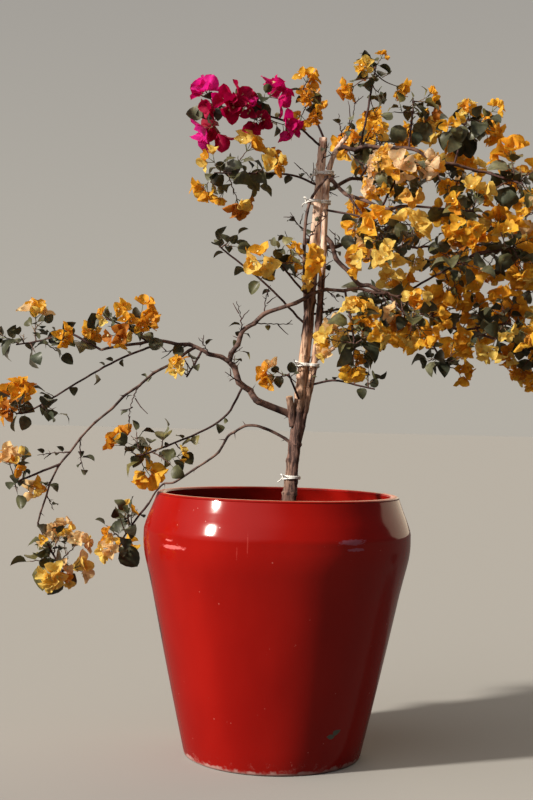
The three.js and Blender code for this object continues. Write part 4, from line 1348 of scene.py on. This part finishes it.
LEAF_SHAPES = [
    leaf_shape(0.10, 0.30, 0.03, 1.5, 0.02),
    leaf_shape(0.16, 0.22, 0.04, 2.0, 0.10),
    leaf_shape(0.05, 0.42, 0.025, 1.2, 0.06),
    leaf_shape(0.20, 0.15, 0.05, 1.7, 0.16),
    leaf_shape(0.08, 0.55, 0.02, 2.3, 0.0),
]


def dealt(seed, place, shares):
    """A number from the row of shares, dealt by chance in their proportions."""
    return int(np.searchsorted(np.cumsum(shares) / np.sum(shares), chance(seed, place)))


def add_leaf(sprays, seed, place, foot, tip, outward, finish):
    """A leaf from foot to tip, turned more or less upwards and outwards. Some have their own finish."""
    along = tip - foot
    length = np.linalg.norm(along)
    along = along / length
    skew = np.array([chance(seed, place + k) - 0.5 for k in (1, 2, 3)])
    up = outward * 0.5 + (0, 0, 0.8) + skew * 1.3
    up = unit(up - along * (up @ along))
    shape = LEAF_SHAPES[int(chance(seed, place + 4) * len(LEAF_SHAPES))]
    if chance(seed, place + 5) < 0.3:
        finish = (finish + 1 + int(2 * chance(seed, place + 6))) % len(LEAF_TINTS)
    across = np.cross(along, up) * length * (0.9 + 0.25 * chance(seed, place + 7))
    sprays.leaves.append(placed(shape, finish, foot, across, along * length, up * length))


def add_leaves(sprays, mass, seed):
    """The leaves of a mass's twigs, shoots and stem."""
    for number, twig in enumerate(mass.grown + mass.fine):
        finish = dealt(seed, number, LEAF_SHARES)
        drawn = LEAF_SIZE if number < len(mass.grown) else 1
        for ring, leaf in twig.leaves.items():
            foot = twig.path[2 * ring]
            tip = foot + (leaf.b - foot) * drawn
            add_leaf(sprays, seed, 100 + 80 * number + 10 * ring, foot, tip, unit(foot - mass.middle), finish)
        if twig.end and not twig.end.reach:
            foot = twig.end.a
            tip = foot + (twig.end.b - foot) * drawn
            outward = 2 * unit(np.cross(twig.end.u, twig.end.b - foot))
            add_leaf(sprays, seed, 60 + 80 * number, foot, tip, outward, finish)
    for number, leaf in enumerate(mass.stem_leaves):
        finish = dealt(seed, 9000 + number // 3, LEAF_SHARES)
        outward = unit(leaf.b - leaf.a + (0, 0, 20))
        add_leaf(sprays, seed, 9100 + 10 * number, leaf.a, leaf.b, outward, finish)


for sprays in SIDES:
    for mass in (MASSES[name] for name in sprays.names):
        add_leaves(sprays, mass, 5000 + mass.owner)
for number, spur in enumerate(spurs):
    finish = dealt(1400, number, LEAF_SHARES)
    for ring, leaf in spur.leaves.items():
        foot = spur.path[2 * ring]
        outward = unit(leaf.b - foot + (0, 0, 20))
        add_leaf(SIDES[0], 1500, 80 * number + 10 * ring, foot, leaf.b, outward, finish)
leaf_finishes = tinted_finishes(
    "leaf_green", LEAF_TINTS, (0.86, 1.12), (110, 3), (0.35, 0.68), ((330, 2), 0.25, 0.001),
    Roughness=0.46, Specular_IOR_Level=0.45,
)
for sprays in SIDES:
    sprays.join("leaves", sprays.leaves, leaf_finishes, "leaves")

# The blossom. Papery bracts stand in threes round small cream flowers, cupped, creased and waved at the
# edge, and let some light through. Several such cups share a twig's end. Most are golden, one spray is
# peach and the top left one is magenta.
BRACT_TINTS = {
    "golden": (
        (246, 188, 62), (238, 174, 50), (250, 212, 112),
        (224, 154, 46), (200, 126, 46), (248, 210, 156),
    ),
    "peach": ((252, 216, 174), (253, 228, 200), (246, 198, 104), (246, 188, 68)),
    "magenta": ((216, 10, 116), (240, 40, 160), (182, 4, 70), (156, 2, 46), (196, 14, 42)),
}
BRACT_SHARES = {"golden": (5, 4, 3, 2.4, 0.5, 0.6), "peach": (3, 1.6, 3, 3.4), "magenta": (4, 3, 3, 1.8, 1)}
PALE_SPRAYS = ("whip_end", "whip_side", "spray_low_front", "spray_mid_low")
# Sprays that stand in shade are dealt more of the darker amber and brown tints and few pale ones, as painted
# shade.
PAINTED_SHADE_SPRAYS = ("shaded_spray", "top_spray", "spray_crest")
SPRAY_SHARES = {
    **dict.fromkeys(PALE_SPRAYS, (3, 2, 5, 1, 0.2, 3)),
    **dict.fromkeys(PAINTED_SHADE_SPRAYS, (3, 4, 0.5, 4, 1.4, 0.2)),
}
SPRAY_KINDS = {"spray_pale": "peach", "magenta_spray": "magenta"}
CUP_SIZE = {"golden": 0.66, "peach": 0.64, "magenta": 0.96}
CUP_COUNT = {"golden": (5, 3), "peach": (5, 3), "magenta": (4, 3)}
BUD_SPRAYS = {
    "top_spray": 0.66, "spray_crest": 0.72, "beside_pot": 0.85, "whip_end": 0.88, "spray_pale": 0.88,
}
THROUGH = 0.45
PETALS = 5


def bract_finishes(kind):
    """Papery bracts: crinkled, a little uneven in depth, with part of the light coming through."""
    finishes = tinted_finishes(
        f"{kind}_bract", BRACT_TINTS[kind], (0.88, 1.08), (150, 3), (0.32, 0.7), ((420, 3), 0.5, 0.001),
        Roughness=0.6, Specular_IOR_Level=0.25,
    )
    for finish, tint in zip(finishes, BRACT_TINTS[kind]):
        nodes = finish.node_tree.nodes
        shader = Wire(finish.node_tree, nodes["Principled BSDF"].outputs[0])
        through = shader.node("BsdfTranslucent", None, {"Color": colour(*tint)})
        paper = shader.node("MixShader", None, {0: THROUGH, 1: shader, 2: through})
        finish.node_tree.links.new(paper.socket, nodes["Material Output"].inputs["Surface"])
    return finishes


def bract_shape(cup, curl, wave, waves, crease, lean):
    """A bract one long: cupped across, curled back, waved at the edge, creased along its rib and lopsided."""

    def relief(t, s, width):
        arch = math.sin(math.pi * t)
        turn = 2 * math.pi * waves * t + (0.6 if s > 0 else 2.9)
        edge = wave * (math.sin(turn) + 0.5 * math.sin(2.3 * turn + 1)) * abs(s) ** 1.5
        rib = -crease * math.exp(-((s / 0.22) ** 2)) * arch
        return cup * s * s * width * 2 - curl * t * t + edge * arch**0.5 + rib + lean * s * t

    return small_shape(blade(6, 6, 0.4, 0.41, 0.95, relief))


BRACT_SHAPES = [
    bract_shape(0.30, 0.10, 0.060, 1.6, 0.030, 0.02),
    bract_shape(0.22, 0.22, 0.080, 2.1, 0.035, -0.04),
    bract_shape(0.40, 0.04, 0.055, 1.3, 0.025, 0.05),
    bract_shape(0.15, 0.28, 0.090, 1.8, 0.040, 0.00),
    bract_shape(0.34, 0.16, 0.075, 2.4, 0.025, -0.06),
    bract_shape(0.10, 0.36, 0.085, 1.4, 0.030, 0.04),
    bract_shape(0.46, -0.04, 0.065, 2.0, 0.030, 0.00),
]

flower_mesh = bmesh.new()
add_cone(flower_mesh, PETALS, 0.055, 0.085, 1, STANDING)
star = bmesh.ops.create_circle(
    flower_mesh, cap_ends=True, cap_tris=True, segments=2 * PETALS, radius=0.3,
    matrix=Matrix.Translation((0, 0, 1.02)),
)["verts"]
for number, vert in enumerate(vert for vert in star if vert.co.xy.length > 0.2):
    vert.co = (vert.co.x, vert.co.y, 1.05) if number % 2 else (vert.co.x * 0.45, vert.co.y * 0.45, 1.0)
FLOWER = small_shape(flower_mesh)


def add_cup(sprays, kind, seed, place, foot, axis, reach, finish):
    """Three bracts round an axis, with one or two open flowers between them."""
    roll = 2 * math.pi * chance(seed, place)
    for third in range(3):
        own = place + third
        radial = out_from(axis, roll + THIRD * third + 0.5 * (chance(seed, own + 1) - 0.5))
        flare = 0.45 + 0.65 * chance(seed, own + 5)
        along = axis * math.cos(flare) + radial * math.sin(flare)
        inward = axis * math.sin(flare) - radial * math.cos(flare)
        length = reach * (0.88 + 0.24 * chance(seed, own + 10))
        shape = BRACT_SHAPES[int(chance(seed, own + 15) * len(BRACT_SHAPES))]
        across = np.cross(along, inward) * length * (0.95 + 0.2 * chance(seed, own + 20))
        bract = placed(shape, finish, foot + radial, across, along * length, inward * length)
        sprays.bracts[kind].append(bract)
        if third < 1 + (chance(seed, place + 25) > 0.6):
            way = unit(axis + radial * 0.35)
            grown = reach * (0.34 + 0.14 * chance(seed, own + 26))
            side = unit(np.cross(way, level_across(axis) + 0.01)) * grown
            flower = placed(FLOWER, third % 2, foot + radial * 1.5, side, np.cross(way, side), way * grown)
            sprays.flowers.append(flower)


def add_blossom(sprays, kind, shares, seed, place, end, heading, small, scale):
    """A twig's end in bloom: cups on short stalks, one ahead and the others leaning out round it."""
    cups = CUP_COUNT[kind][small]
    reach = end.reach * scale
    finish = dealt(seed, place + 1, shares)
    for cup in range(cups):
        turn = 2 * math.pi * (cup / (cups - 1) + chance(seed, place + 2))
        turn += 0.5 * chance(seed, place + 12 + cup)
        lean, lift = (0.2, 0.4) if cup == 0 else (0.75 + 0.6 * chance(seed, place + 16 + cup), 0.32)
        axis = unit(heading + out_from(heading, turn) * lean)
        foot = end.a + axis * reach * (lift + 0.3 * chance(seed, place + 22 + cup))
        sprays.stalks.append((*stalk_along([end.a, foot], [0.7, 0.6]), 3))
        cup_finish = dealt(seed, place + 3 + cup, shares) if chance(seed, place + 8 + cup) < 0.35 else finish
        add_cup(sprays, kind, seed, place + 30 + 40 * cup, foot, axis, reach * CUP_SIZE[kind], cup_finish)


# The small tube flowers are waxy and a little mottled
flower_finishes = [
    mottled_finish(
        name, colour(*tint, 0.85), colour(*tint), (240, 2), (0.35, 0.65),
        Roughness=0.55, Specular_IOR_Level=0.35,
    )
    for name, tint in (("flower_cream", (236, 222, 166)), ("flower_green", (200, 188, 108)))
]
for sprays in SIDES:
    sprays.stalks = []
    for name in sprays.names:
        mass = MASSES[name]
        kind = SPRAY_KINDS.get(name, "golden")
        shares = SPRAY_SHARES.get(name, BRACT_SHARES[kind])
        scale = BUD_SPRAYS.get(name, 1)
        for number, twig in enumerate(mass.grown + mass.fine):
            if twig.end and twig.end.reach:
                small = number >= len(mass.grown)
                seed, place = 7000 + mass.owner, 300 * number
                add_blossom(sprays, kind, shares, seed, place, twig.end, twig.heading, small, scale)
    sprays.join("blossom_stalks", sprays.stalks, twig_finishes, "bark")
    sprays.join("flowers", sprays.flowers, flower_finishes, "peach_bracts")
for kind in BRACT_TINTS:
    finishes = bract_finishes(kind)
    for sprays in SIDES:
        if sprays.bracts[kind]:
            names = [name for name in sprays.names if SPRAY_KINDS.get(name, "golden") == kind]
            sprays.join(f"{kind}_bracts", sprays.bracts[kind], finishes, f"{kind}_bracts", names)

size = {"cad": [list(corner) for corner in cad_bounds], "visual": [list(corner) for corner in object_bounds()]}
